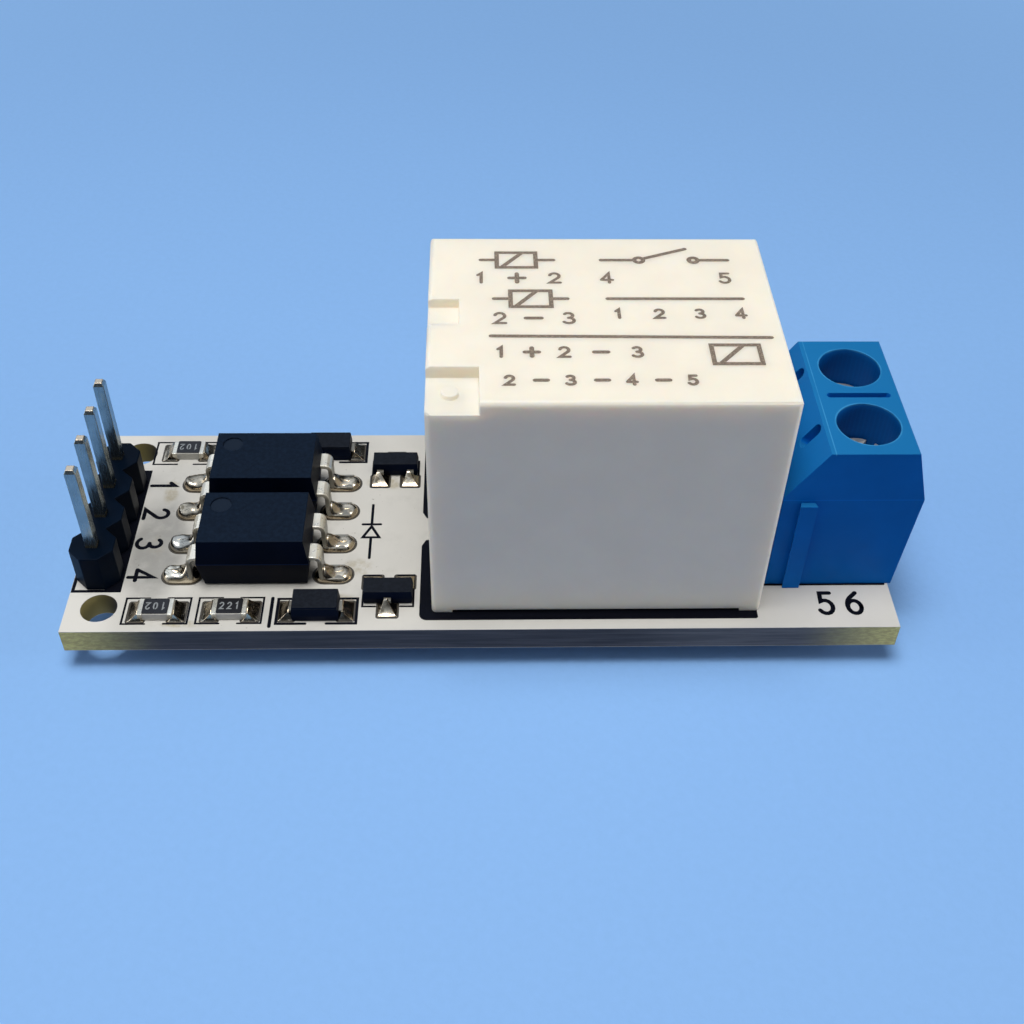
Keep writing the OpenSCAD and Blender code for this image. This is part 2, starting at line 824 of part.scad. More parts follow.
module relay_bobbin() {
    color("#2b2d30") at_coil() difference() {
        union() {
            for (z = [flange_z, flange_2_z])
                translate([-flange_l / 2, -flange_w / 2, z]) linear_extrude(flange_t)
                    rounded(flange_l, flange_w, 0.6);
            translate([0, 0, coil_z - eps]) cylinder(d = tube_d, h = coil_h + 2 * eps);
        }
        translate([0, 0, flange_z - overcut])
            cylinder(d = core_d + 2 * fit_gap, h = pole_z - flange_z + 2 * overcut);
        for (p = coil_posts) translate([p[0] - coil_u, p[1] - mid_v, 0])
            pillar(post_w + 2 * wrap_gap, post_w + 2 * wrap_gap,
                flange_z - overcut, coil_z + overcut);
    }
}

// Each coil is a wound ring between the flanges
module coil_ring(low, high) {
    at_coil() translate([0, 0, low]) difference() {
        cylinder(d = coil_d, h = high - low);
        translate([0, 0, -overcut])
            cylinder(d = tube_d + 2 * wrap_gap, h = high - low + 2 * overcut);
    }
}

module relay_set_coil() {
    color("#b5651d") coil_ring(coil_z, coil_z + coil_h / 2 - wrap_gap);
}

module relay_reset_coil() {
    color("#8c3b1a") coil_ring(coil_z + coil_h / 2, coil_z + coil_h);
}

module relay_magnet() {
    color("#3a3a3f") at_coil() translate([0, 0, flange_z]) cylinder(d = core_d, h = magnet_t);
}

module relay_core() {
    color("lightgrey") at_coil() {
        translate([0, 0, flange_z + magnet_t])
            cylinder(d = core_d, h = pole_z - flange_z - magnet_t + eps);
        translate([0, 0, pole_z]) cylinder(d = pole_d, h = pole_t);
    }
}

// L-shaped yoke, with two ears on its upper edge that keep the armature in place
module relay_yoke() {
    foot_l = coil_u + core_d / 2 + yoke_over - yoke_u;
    color("lightgrey") at_relay() translate([yoke_u, mid_v, 0]) {
        across(yoke_w) polygon([
            [0, base_top], [foot_l, base_top], [foot_l, base_top + yoke_t],
            [yoke_t, base_top + yoke_t], [yoke_t, yoke_top], [0, yoke_top]
        ]);
        for (side = [-1, 1]) translate([ear_t / 2, side * ear_v, 0])
            pillar(ear_t, ear_w, yoke_top - eps, yoke_top + armature_t - ear_short);
    }
}

module relay_armature() {
    color("lightgrey") at_hinge() translate([yoke_u, mid_v - yoke_w / 2, hinge_z])
        linear_extrude(armature_t) difference() {
            rounded(armature_l, yoke_w, 0.8);
            translate([-eps, yoke_w / 2 - notch_w / 2]) square([notch_l + eps, notch_w]);
        }
}

// A point of the closed armature, in U and Z, after the armature has lifted
function lifted(p) = let (d = p - [yoke_u, hinge_z])
    [yoke_u, hinge_z] + [
        d[0] * cos(armature_lift) - d[1] * sin(armature_lift),
        d[0] * sin(armature_lift) + d[1] * cos(armature_lift)
    ];

// Leaf welded behind the yoke, which bends over the hinge edge and runs along the
// armature to the contact. The bend takes up the armature's stand-off angle.
module relay_contact_spring() {
    tail_u = spring_u + spring_t / 2;
    top_z = spring_z + spring_t / 2;
    end_u = contact_u + contact_d / 2 + spring_over;
    r = 0.6;
    rise = (top_z - hinge_z - r + (tail_u + r - yoke_u) * sin(armature_lift))
        / cos(armature_lift);
    path = concat(
        [[tail_u, hinge_z - spring_tail]],
        bend([tail_u + r, hinge_z + rise], r, 180, 90 + armature_lift),
        [lifted([end_u, top_z])]
    );
    color("#c08a4a") difference() {
        at_relay() translate([0, mid_v, 0]) across(spring_w) polygon(ribbon(path, spring_t));
        at_hinge() translate([contact_u, mid_v, top_z])
            cylinder(d = rivet_d, h = overcut, center = true);
    }
}

module relay_moving_contact() {
    color("silver") at_hinge() translate([contact_u, mid_v, spring_z]) {
        translate([0, 0, -contact_drop]) cylinder(d = contact_d, h = contact_drop);
        translate([0, 0, -eps]) cylinder(d = rivet_d - 2 * wrap_gap, h = spring_t + 2 * eps);
        translate([0, 0, spring_t])
            cylinder(d = contact_d - 2 * contact_cap_in, h = contact_cap);
    }
}

module relay_fixed_contact() {
    color("silver") at_relay() translate([contact_u, mid_v, fixed_top - contact_t])
        cylinder(d = contact_d, h = contact_t);
}

// Strip from the fixed contact down the end wall and out through the base
module relay_fixed_terminal() {
    arm_z = fixed_top - contact_t - strip_t;
    arm_u = contact_u - contact_d / 2 - arm_over;
    color("#c08a4a") at_relay() translate([0, mid_v, 0]) {
        translate([arm_u, -arm_w / 2, arm_z]) cube([strip_u + strip_t - arm_u, arm_w, strip_t]);
        translate([strip_u, -arm_w / 2, base_top])
            cube([strip_t, arm_w, arm_z - base_top + eps]);
        translate([strip_u, -strip_w / 2, -stand])
            cube([strip_t, strip_w, stand + base_top + eps]);
    }
}

// Foot plate under the yoke with a solder leg
module relay_common_terminal() {
    color("#c08a4a") at_relay() translate([common_u, mid_v, 0]) {
        translate([-yoke_t / 2, -common_foot_w / 2, base_top - common_foot_t])
            cube([yoke_t, common_foot_w, common_foot_t]);
        translate([-strip_t / 2, -strip_w / 2, -stand])
            cube([strip_t, strip_w, stand + base_top - common_foot_t + eps]);
    }
}

module relay_coil_pins() {
    color("gainsboro") at_relay() for (p = coil_posts)
        translate([p[0] - post_w / 2, p[1] - post_w / 2, -stand])
            cube([post_w, post_w, stand + coil_z + post_rise]);
}

// ---------------------------------------------------------------- solder

// Cone of solder under the board with a plug of solder in the plated hole
module joint(x, y, drill_d, lead) {
    corner = norm(lead) / 2;
    translate([x, y, 0]) difference() {
        union() {
            translate([0, 0, -board_t - joint_h])
                cylinder(r1 = corner + joint_skin, r2 = drill_d / 2 + joint_over, h = joint_h);
            translate([0, 0, -board_t - eps])
                cylinder(d = drill_d - 2 * wrap_gap, h = board_t + eps);
        }
        cube([lead[0], lead[1], 4 * stand], center = true);
    }
}

module solder_joints() {
    color("#c8c8c4") {
        for (i = [1 : pin_count]) joint(header_cx, pin_y(i), pin_hole_d, [pin_w, pin_w]);
        for (p = coil_posts)
            joint(relay_x + p[0], relay_front + p[1], post_hole_d, [post_w, post_w]);
        for (u = [common_u, strip_u + strip_t / 2])
            joint(relay_x + u, relay_front + mid_v, strip_hole_d, [strip_t, strip_w]);
        for (i = [1 : poles])
            joint(term_x + leg_p + leg_t / 2, term_y + (i - 0.5) * pole_pitch, leg_hole_d,
                [leg_t, leg_w]);
    }
}

// Bead of solder over a pad, given as in opto_bead: an upper slice of a ball, long
// towards +X
module bead(size) {
    l = size[0];
    w = size[1];
    h = size[2];
    r = (w * w / 4 + h * h) / (2 * h);
    intersection() {
        translate([0, 0, h - r]) union() {
            sphere(r);
            rotate([0, 90, 0]) cylinder(r = r, h = l - w);
            translate([l - w, 0, 0]) sphere(r);
        }
        translate([-w, -w, 0]) cube([l + 2 * w, 2 * w, h + overcut]);
    }
}

module solder_fillets() {
    color("#c8c8c4") {
        for (rear = [false, true]) difference() {
            at_opto(rear) for (turn = [0, 180], row = [-1, 1]) rotate([0, 0, turn])
                translate([opto_leg + opto_bead[3], row * opto_row / 2, 0]) bead(opto_bead);
            opto_leads(rear);
        }
        for (rear = [false, true]) difference() {
            at_diode(rear) for (turn = [0, 180]) rotate([0, 0, turn])
                translate([diode_l / 2 + diode_bead[3], 0, 0]) bead(diode_bead);
            diode_leads(rear);
        }
        for (rear = [false, true]) difference() {
            at_sot(rear) for (l = sot_leads) translate([l[0], 0, 0]) rotate([0, 0, l[1] * 90])
                translate([sot_w / 2 + sot_bead[3], 0, 0]) bead(sot_bead);
            sot_lead_set(rear);
        }
        for (i = [1 : 3]) difference() {
            translate([0, 0, -lead_z]) at_chip(i) for (turn = [0, 180]) rotate([0, 0, turn])
                translate([chip_l / 2 + chip_bead[3], 0, 0]) bead(chip_bead);
            at_chip(i) translate([-chip_l / 2, -chip_w, -overcut])
                cube([chip_l, 2 * chip_w, chip_h + 2 * overcut]);
        }
    }
}

// ---------------------------------------------------------------- the part

part_frame() board();
part_frame() header_housing();
part_frame() header_pin(1);  // header_pin_1
part_frame() header_pin(2);  // header_pin_2
part_frame() header_pin(3);  // header_pin_3
part_frame() header_pin(4);  // header_pin_4
part_frame() opto_body(false);  // opto_front_body
part_frame() opto_leads(false);  // opto_front_leads
part_frame() opto_body(true);  // opto_rear_body
part_frame() opto_leads(true);  // opto_rear_leads
part_frame() chip_body(1);  // resistor_1_body
part_frame() chip_caps(1);  // resistor_1_caps
part_frame() chip_coat(1);  // resistor_1_coat
part_frame() chip_body(2);  // resistor_2_body
part_frame() chip_caps(2);  // resistor_2_caps
part_frame() chip_coat(2);  // resistor_2_coat
part_frame() chip_body(3);  // resistor_3_body
part_frame() chip_caps(3);  // resistor_3_caps
part_frame() chip_coat(3);  // resistor_3_coat
part_frame() diode_body(false);  // diode_front_body
part_frame() diode_leads(false);  // diode_front_leads
part_frame() diode_body(true);  // diode_rear_body
part_frame() diode_leads(true);  // diode_rear_leads
part_frame() sot_body(false);  // transistor_front_body
part_frame() sot_lead_set(false);  // transistor_front_leads
part_frame() sot_body(true);  // transistor_rear_body
part_frame() sot_lead_set(true);  // transistor_rear_leads
part_frame() terminal_housing();
part_frame() terminal_clamp(1);  // terminal_clamp_1
part_frame() terminal_clamp(2);  // terminal_clamp_2
part_frame() terminal_screw(1);  // terminal_screw_1
part_frame() terminal_screw(2);  // terminal_screw_2
part_frame() terminal_pin(1);  // terminal_pin_1
part_frame() terminal_pin(2);  // terminal_pin_2
part_frame() relay_cover();
part_frame() relay_base();
part_frame() relay_bobbin();
part_frame() relay_set_coil();
part_frame() relay_reset_coil();
part_frame() relay_core();
part_frame() relay_magnet();
part_frame() relay_yoke();
part_frame() relay_armature();
part_frame() relay_contact_spring();
part_frame() relay_moving_contact();
part_frame() relay_fixed_contact();
part_frame() relay_fixed_terminal();
part_frame() relay_common_terminal();
part_frame() relay_coil_pins();
part_frame() solder_joints();
part_frame() solder_fillets();
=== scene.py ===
"""Dresses the relay module board: finishes, print, solder, screw threads and a plain stage.

Every place comes from the packed solids. Places are given in board millimetres: X and Y
from the board's corner at the header, Z from its upper face. Sizes are in millimetres in
the functions and in metres in the settings.
"""

import math
import random

import bmesh
import bpy
from bpy.props import FloatProperty, FloatVectorProperty, PointerProperty
from mathutils import Matrix, Vector


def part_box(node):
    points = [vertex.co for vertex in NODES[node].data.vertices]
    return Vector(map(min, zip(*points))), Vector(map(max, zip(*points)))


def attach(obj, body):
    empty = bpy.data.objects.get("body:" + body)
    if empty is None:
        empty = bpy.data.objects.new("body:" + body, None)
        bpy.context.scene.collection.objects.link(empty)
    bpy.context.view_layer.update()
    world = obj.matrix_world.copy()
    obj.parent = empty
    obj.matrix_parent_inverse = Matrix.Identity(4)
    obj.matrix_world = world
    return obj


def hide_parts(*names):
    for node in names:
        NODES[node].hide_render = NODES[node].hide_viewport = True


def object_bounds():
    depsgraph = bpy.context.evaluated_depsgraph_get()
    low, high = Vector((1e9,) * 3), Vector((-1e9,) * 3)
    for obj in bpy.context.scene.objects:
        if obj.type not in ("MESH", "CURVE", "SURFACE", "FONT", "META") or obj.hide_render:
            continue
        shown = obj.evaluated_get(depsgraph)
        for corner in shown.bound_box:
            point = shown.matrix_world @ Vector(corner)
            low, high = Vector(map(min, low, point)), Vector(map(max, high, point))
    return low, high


bl_info = {
    "name": "Relay Module Board",
    "version": (1, 0, 0),
    "blender": (4, 5, 0),
    "location": "View3D > Sidebar > Relay Board",
    "description": "Dresses the relay module board and sets its stage",
    "category": "Object",
}

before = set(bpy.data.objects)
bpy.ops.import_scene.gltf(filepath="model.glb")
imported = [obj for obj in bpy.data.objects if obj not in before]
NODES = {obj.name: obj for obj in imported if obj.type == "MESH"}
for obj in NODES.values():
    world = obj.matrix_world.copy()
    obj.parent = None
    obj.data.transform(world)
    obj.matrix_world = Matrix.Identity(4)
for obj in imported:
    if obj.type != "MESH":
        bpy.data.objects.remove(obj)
CAD_BOX = [list(corner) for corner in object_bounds()]
MM = 0.001
ROOT = "board_assembly"
BOARD_LOW, BOARD_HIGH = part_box("board")

# Thicknesses in millimetres: of the ink, the rim of a pad and a track, and the step by
# which a printed line stands over the last one
INK_DEPTH = 0.010
RIM_DEPTH = 0.006
TRACK_DEPTH = 0.02
HAIR = 0.0001

# Sizes in millimetres that the solids have and that no box gives
BORE_RADIUS = 1.775
SHANK_RADIUS = 1.2
DIMPLE_RADIUS = 0.6
MOULD_SEAM = 1.95
HOUSING_SEAM = 6.8

# Centres of the mounting holes, and smudges of flux as a centre and half sizes
HOLES = ((1.9, 1.8), (1.9, 15.2))
HOLE_REACH = 1.2
FLUX = (
    (6.9, 0.55, 2.2, 0.35), (15.3, 2.3, 1.9, 0.7), (18.3, 12.4, 2.2, 0.8), (4.4, 6.6, 0.7, 2.2),
    (4.5, 11.6, 0.6, 1.8), (16.6, 4.9, 1.2, 0.9), (12.4, 14.0, 1.4, 0.6), (8.3, 8.3, 2.4, 0.5),
)

# Colours of wear, dirt and small pieces, and of painted light and shade
FLUX_BROWN = (0.36, 0.30, 0.17)
SPECK_BROWN = (0.10, 0.08, 0.06)
GLASS_ENDS = (0.62, 0.58, 0.40)
SAWN_END = (0.50, 0.45, 0.24)
# Painted shade on the board's long edges, and its paler part towards the right end
EDGE_SHADE = ((0.050, 0.055, 0.068), (0.090, 0.095, 0.112))
PALER_EDGE_SHADE = ((0.100, 0.112, 0.130), (0.165, 0.180, 0.205))
HOLE_WALL = ((0.50, 0.42, 0.16), (0.035, 0.03, 0.026))
RUBBED_TIN = (0.50, 0.42, 0.28)
# Painted glint at the feet of the header pins
GLINT_TIN = (0.55, 0.47, 0.28)
# Painted light on the top faces of the mouldings
LIT_TOP_MOULDING = (0.0050, 0.0110, 0.0235)
LIT_TOP_SMALL_MOULDING = (0.0100, 0.0125, 0.0180)
DIMPLE_FLOOR = (0.010, 0.018, 0.034)
# Painted light on the terminal block's upward faces
LIT_TOP_BLUE = (0.011, 0.160, 0.41)
# Painted shade down the terminal block's bores
BORE_SHADE_BLUE = (0.0015, 0.075, 0.30)
# Painted highlight along the terminal block's rims and top edges
EDGE_HIGHLIGHT_BLUE = (0.06, 0.32, 0.62)
BURNT_FLUX = (0.15, 0.115, 0.065)
DULL_SOLDER = (0.40, 0.385, 0.34)
BARE_TIN = (0.88, 0.80, 0.64)


# ------------------------------------------------------------------ places


def place(x, y, z=0.0):
    """A point given in board millimetres, in the part's frame."""
    return Vector((BOARD_LOW.x + x * MM, BOARD_LOW.y + y * MM, BOARD_HIGH.z + z * MM))


def span(*names):
    """Lowest and highest corner of some solids together, in board millimetres."""
    corners = [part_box(name) for name in names]
    origin = place(0, 0)
    low = [min(c[0][k] for c in corners) - origin[k] for k in range(3)]
    high = [max(c[1][k] for c in corners) - origin[k] for k in range(3)]
    return Vector(low) / MM, Vector(high) / MM


def middle_of(name):
    """Middle of a solid, seen from above, in board millimetres."""
    low, high = span(name)
    return ((low + high) / 2).xy


def leads():
    """Where leads pass the board: header, terminal, contact strip, yoke and coil pins."""
    header = [middle_of(f"header_pin_{i}") for i in range(1, 5)]
    terminal = [Vector((span(f"terminal_pin_{i}")[0].x + 0.325, middle_of(f"terminal_pin_{i}").y))
                for i in (1, 2)]
    strip = Vector((span("relay_fixed_terminal")[1].x - 0.3, middle_of("relay_fixed_terminal").y))
    low, high = span("relay_coil_pins")
    coil = [Vector(point) for point in (
        (low.x + 0.3, low.y + 0.3), (high.x - 0.3, low.y + 0.3), (high.x - 0.3, high.y - 0.3)
    )]
    return header, terminal, strip, middle_of("relay_common_terminal"), coil


# ------------------------------------------------------------------ nodes


def full(colour):
    """A colour with its fourth number; a socket stays as it is."""
    if isinstance(colour, bpy.types.NodeSocket):
        return colour
    return tuple(colour)[:3] + (1.0,)


class Nodes:
    """A node tree, with short ways to add nodes and to link them."""

    family = "ShaderNode"

    def __init__(self, tree):
        self.tree = tree

    def put(self, socket, value):
        if isinstance(value, bpy.types.NodeSocket):
            self.tree.links.new(value, socket)
        elif value is not None:
            socket.default_value = value

    def add(self, kind, inputs=None, **settings):
        node = self.tree.nodes.new(kind if "Node" in kind else self.family + kind)
        for key, value in settings.items():
            setattr(node, key, value)
        for key, value in (inputs or {}).items():
            self.put(node.inputs[key], value)
        return node

    def math(self, operation, a, b=None):
        return self.add("ShaderNodeMath", {0: a, 1: b}, operation=operation).outputs[0]

    def gather(self, operation, factors):
        total, *rest = factors
        for factor in rest:
            total = self.math(operation, total, factor)
        return total

    def product(self, *factors):
        return self.gather("MULTIPLY", factors)

    def either(self, factors):
        """The largest of several factors."""
        return self.gather("MAXIMUM", factors)

    def gap(self, value, level):
        """How far a value is from a level."""
        return self.math("ABSOLUTE", self.math("SUBTRACT", value, level))

    def band(self, value, low, high, bottom=0.0, top=1.0):
        """Maps value smoothly from low..high to bottom..top."""
        return self.add(
            "MapRange",
            {0: value, 1: low, 2: high, 3: bottom, 4: top},
            interpolation_type="SMOOTHSTEP",
        ).outputs[0]


# ------------------------------------------------------------------ finishes


class Finish(Nodes):
    """One procedural material, built node by node around its shader."""

    def __init__(self, name, colour, roughness, metallic=0.0, **sockets):
        self.material = bpy.data.materials.new(name)
        self.material.use_nodes = True
        super().__init__(self.material.node_tree)
        self.shader = self.tree.nodes["Principled BSDF"]
        self.paint(full(colour))
        self.gloss(roughness)
        self.set(Metallic=metallic, **sockets)
        self.coords = self.add("TexCoord").outputs["Object"]

    def set(self, **sockets):
        for key, value in sockets.items():
            self.put(self.shader.inputs[key.replace("_", " ")], value)

    def paint(self, colour):
        self.put(self.shader.inputs["Base Color"], colour)

    def painted(self):
        return self.shader.inputs["Base Color"].links[0].from_socket

    def stain(self, factor, colour):
        """Paints over what is there, where the factor is above 0."""
        self.paint(self.mix(factor, self.painted(), colour))

    def gloss(self, value):
        self.put(self.shader.inputs["Roughness"], value)

    def bump(self, height, depth):
        """Raises the surface by depth millimetres where height is 1."""
        node = self.add("Bump", {"Height": height, "Distance": depth * MM, "Strength": 1.0})
        self.put(self.shader.inputs["Normal"], node.outputs[0])

    def mix(self, factor, a, b):
        inputs = {0: factor, 6: full(a), 7: full(b)}
        return self.add("Mix", inputs, data_type="RGBA").outputs[2]

    def axes(self):
        return self.add("SeparateXYZ", {0: self.coords}).outputs

    def mapped(self, scale, start=(0, 0, 0)):
        inputs = {"Vector": self.coords, "Location": start, "Scale": scale}
        return self.add("Mapping", inputs).outputs[0]

    def noise(self, size, detail=3.0, roughness=0.55, stretch=(1, 1, 1)):
        """Noise whose blotches are about size millimetres wide, from 0 to 1."""
        mapped = self.mapped([1 / (size * MM * s) for s in stretch])
        inputs = {"Vector": mapped, "Scale": 1.0, "Detail": detail, "Roughness": roughness}
        return self.add("TexNoise", inputs).outputs[0]

    def reach(self, centre, *half):
        """Distance from a place, where 1 is half millimetres away; a half of 0 is ignored."""
        scale = [1 / (h * MM) if h else 0.0 for h in half]
        mapped = self.mapped(scale, [-c * k for c, k in zip(centre, scale)])
        return self.add("VectorMath", {0: mapped}, operation="LENGTH").outputs["Value"]

    def patch(self, centre, half, start, stop=1.0, strength=1.0):
        """A factor round a place of the board, which fades between two shares of half."""
        return self.band(self.reach(place(*centre), *half, 0), start, stop, strength, 0.0)


def tint(colour, factor):
    return tuple(min(1.0, c * factor) for c in tuple(colour)[:3])


def plastic(name, colour, roughness, grain=0.12, depth=0.004, wear=0.06, specular=0.25):
    """Moulded plastic with a fine grain, slow changes of tone and handling marks."""
    f = Finish(name, colour, roughness, Specular_IOR_Level=specular)
    slow = f.noise(3.5, 3)
    fine = f.noise(grain, 4)
    tone = f.mix(f.band(slow, 0.3, 0.75), tint(colour, 1 - wear), tint(colour, 1 + wear))
    f.paint(f.mix(f.band(fine, 0.62, 0.8, 0.0, wear), tone, tint(colour, 1.6)))
    f.gloss(f.band(slow, 0.25, 0.8, roughness - 0.07, roughness + 0.08))
    f.bump(fine, depth)
    return f


def metal(name, colour, roughness, grain=0.3, depth=0.004, dull=0.82, stretch=(1, 1, 1),
          metallic=1.0):
    """Plated or soldered metal, a little duller and rougher in patches."""
    f = Finish(name, colour, roughness, metallic)
    slow = f.noise(1.1, 4)
    fine = f.noise(grain, 4, 0.6, stretch)
    patch = f.band(slow, 0.35, 0.7)
    f.paint(f.mix(patch, tint(colour, dull), tint(colour, 1.06)))
    f.gloss(f.band(fine, 0.3, 0.75, roughness * 0.75, min(1.0, roughness * 1.5)))
    f.bump(fine, depth)
    return f


def mask_finish(s):
    """White mask on both faces, bare laminate on the edges and in the holes."""
    f = Finish("board_mask_and_laminate", s.mask_colour, 0.42, Specular_IOR_Level=0.3)
    middle, half = (BOARD_LOW + BOARD_HIGH) / 2, (BOARD_HIGH - BOARD_LOW) / 2
    coated = f.math("GREATER_THAN", f.gap(f.axes()[2], middle.z), half.z - s.mask_thickness)
    blotches, grain, ends = f.noise(0.9, 5, 0.65), f.noise(0.07, 3), f.noise(0.12, 3, 0.6)
    f.paint(f.mix(coated, laminate(f, s, middle, half, ends), coat(f, s, blotches)))
    sheen = f.band(blotches, 0.3, 0.8, 0.36, 0.5)
    f.gloss(f.add("Mix", {0: coated, 2: 0.72, 3: sheen}).outputs[0])
    f.bump(f.add("Mix", {0: coated, 2: ends, 3: grain}).outputs[0], 0.005)
    return f


def coat(f, s, blotches):
    """Colour of the mask: flux left by hand soldering, a mottled darker patch between the header
    and the optocouplers, painted light along the left end, haze and specks.
    """
    white = s.mask_colour
    colour = f.mix(f.band(f.noise(5.0, 4), 0.3, 0.7), tint(white, 0.97), tint(white, 1.03))
    smudges = f.either([f.patch((x, y), (w, d), 0.35) for x, y, w, d in FLUX])
    flux = f.product(smudges, f.band(blotches, 0.36, 0.66), s.flux)
    # A mottled darker patch of the mask between the header and the optocouplers
    dark_patch = f.product(f.patch((4.5, 6.6), (2.1, 5.4), 0.5, 1.05, 0.95),
                     f.band(f.noise(1.3, 5, 0.6), 0.3, 0.62, 0.55, 1.0))
    haze = f.product(f.patch((10, 8.5), (12, 11), 0.8),
                     f.band(f.noise(1.8, 4, 0.6), 0.48, 0.72, 0.0, 0.30))
    specks = f.product(f.band(f.noise(0.20, 2), 0.735, 0.76, 0.0, 0.6),
                       f.patch((11, 8.5), (11, 10), 0.7))
    for factor, stain in (
        (flux, FLUX_BROWN),
        # Painted light: the mask is painted lighter along the left end of the board
        (f.patch((0, 8.5), (3.6, 0), 0.5), tint(white, 1.18)),
        (dark_patch, tint(white, 0.55)),
        (haze, tint(white, 0.72)),
        (specks, SPECK_BROWN),
    ):
        colour = f.mix(factor, colour, stain)
    return colour


def laminate(f, s, middle, half, ends):
    """Colour of the edges: glass layers, pale bundle ends, painted shade on the long edges, and
    the holes' walls.
    """
    x, y, _ = f.axes()
    layers = f.band(f.noise(0.16, 4, 0.65, (2.5, 2.5, 1)), 0.35, 0.65)
    colour = f.mix(layers, tint(s.edge_colour, 0.8), tint(s.edge_colour, 1.15))
    sawn = f.math("GREATER_THAN", f.reach(middle, half.x / MM - 0.02, 0, 0), 1.0)
    # Painted shade on the long edges, streaked along them, strongest on the front edge and paler
    # past the relay's middle
    edge_shading = f.product(f.patch((24, 8.5), (22.5, 0), 0.8, 1.12),
                       f.band(y, place(0, 1).y, place(0, 9).y, 1.0, 0.6))
    streaks = f.band(f.noise(0.35, 4, 0.6, (12, 1, 0.6)), 0.3, 0.72)
    lighter = f.band(x, place(31, 0).x, place(37, 0).x)
    shade_colour = f.mix(streaks, *(f.mix(lighter, a, b) for a, b in zip(EDGE_SHADE, PALER_EDGE_SHADE)))
    # The holes' walls are lit on one side only
    drilled = f.either([
        f.math("LESS_THAN", f.reach(place(*hole), HOLE_REACH, HOLE_REACH, 0), 1.0)
        for hole in HOLES
    ])
    across = f.band(x, place(HOLES[0][0] - 0.6, 0).x, place(HOLES[0][0] + 0.9, 0).x)
    for factor, stain in (
        (f.band(ends, 0.55, 0.75, 0.0, 0.3), GLASS_ENDS),
        (sawn, SAWN_END),
        (edge_shading, shade_colour),
        (drilled, f.mix(across, *HOLE_WALL)),
    ):
        colour = f.mix(factor, colour, stain)
    return colour


# ------------------------------------------------------------------ pieces


def add_piece(name, bm, finish, body=ROOT, replaces=(), smooth=None):
    """Turns a bmesh into a finished piece that rides on a body."""
    bmesh.ops.recalc_face_normals(bm, faces=bm.faces)
    mesh = bpy.data.meshes.new(name)
    bm.to_mesh(mesh)
    bm.free()
    return add_mesh(name, mesh, finish, body, replaces, smooth)


def add_mesh(name, mesh, finish, body=ROOT, replaces=(), smooth=None):
    mesh.name = name
    if smooth is not None:
        mesh.shade_smooth()
        mesh.set_sharp_from_angle(angle=math.radians(smooth))
    mesh.materials.clear()
    mesh.materials.append(finish.material)
    piece = bpy.data.objects.new(name, mesh)
    bpy.context.scene.collection.objects.link(piece)
    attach(piece, body)
    if replaces:
        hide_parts(*replaces)
    return piece


def dress(names, finish, edge=0.0, segments=2, angle=35):
    """Gives packed solids a finish, and round edges whose radius is edge millimetres."""
    for name in names:
        node = NODES[name]
        for slot in node.material_slots:
            slot.material = finish.material
        if edge:
            weld = node.modifiers.new("weld", "WELD")
            weld.merge_threshold = 0.0005 * MM
            flat = node.modifiers.new("flat", "DECIMATE")
            flat.decimate_type = "DISSOLVE"
            flat.angle_limit = math.radians(0.4)
            bevel = node.modifiers.new("edges", "BEVEL")
            bevel.width = edge * MM
            bevel.segments = segments
            bevel.limit_method = "ANGLE"
            bevel.angle_limit = math.radians(angle)
            bevel.harden_normals = True
            node.modifiers.new("normals", "WEIGHTED_NORMAL").keep_sharp = True


def prism(bm, outline, low, high):
    """A closed prism over an outline of points in board millimetres."""
    bottom = [bm.verts.new(place(x, y, low)) for x, y in outline]
    top = [bm.verts.new(place(x, y, high)) for x, y in outline]
    bm.faces.new(top)
    bm.faces.new(reversed(bottom))
    for i in range(len(outline)):
        j = (i + 1) % len(outline)
        bm.faces.new((bottom[i], bottom[j], top[j], top[i]))


def ring(bm, outer, inner, low, high):
    """A closed band between two outlines that have as many points as each other."""
    count = len(outer)
    rows = [
        [bm.verts.new(place(x, y, z)) for x, y in line]
        for line, z in ((outer, low), (outer, high), (inner, high), (inner, low))
    ]
    for a, b in zip(rows, rows[1:] + rows[:1]):
        for i in range(count):
            j = (i + 1) % count
            bm.faces.new((a[i], a[j], b[j], b[i]))


def offset(points, distance, closed=False):
    """A line moved sideways, with mitred corners."""
    moved = []
    count = len(points)
    for i, point in enumerate(points):
        before = points[i - 1] if closed or i else None
        after = points[(i + 1) % count] if closed or i < count - 1 else None
        here = Vector(point)
        normals = []
        if before is not None:
            d = (here - Vector(before)).normalized()
            normals.append(Vector((-d.y, d.x)))
        if after is not None:
            d = (Vector(after) - here).normalized()
            normals.append(Vector((-d.y, d.x)))
        mean = (normals[0] + normals[-1]).normalized()
        moved.append(tuple(here + mean * distance / max(0.35, mean.dot(normals[0]))))
    return moved


def stroke(bm, points, width, low, high, closed=False, caps=5):
    """A printed line of even width, with round ends where it is open."""
    left, right = offset(points, width / 2, closed), offset(points, -width / 2, closed)
    if closed:
        ring(bm, left, right, low, high)
        return
    outline = list(left)
    for end, other, line in ((points[-1], points[-2], -1), (points[0], points[1], 1)):
        out = (Vector(end) - Vector(other)).normalized()
        side = Vector((-out.y, out.x))
        for k in range(1, caps):
            a = math.pi * k / caps
            toward = side * math.cos(a) + out * math.sin(a)
            outline.append(tuple(Vector(end) + toward * width / 2))
        if line == -1:
            outline += list(reversed(right))
    prism(bm, outline, low, high)


def arc(x, y, rx, ry, start, stop, steps=12):
    """Points along part of an ellipse, from one angle to another."""
    turns = [math.radians(start + (stop - start) * k / steps) for k in range(steps + 1)]
    return [(x + rx * math.cos(t), y + ry * math.sin(t)) for t in turns]


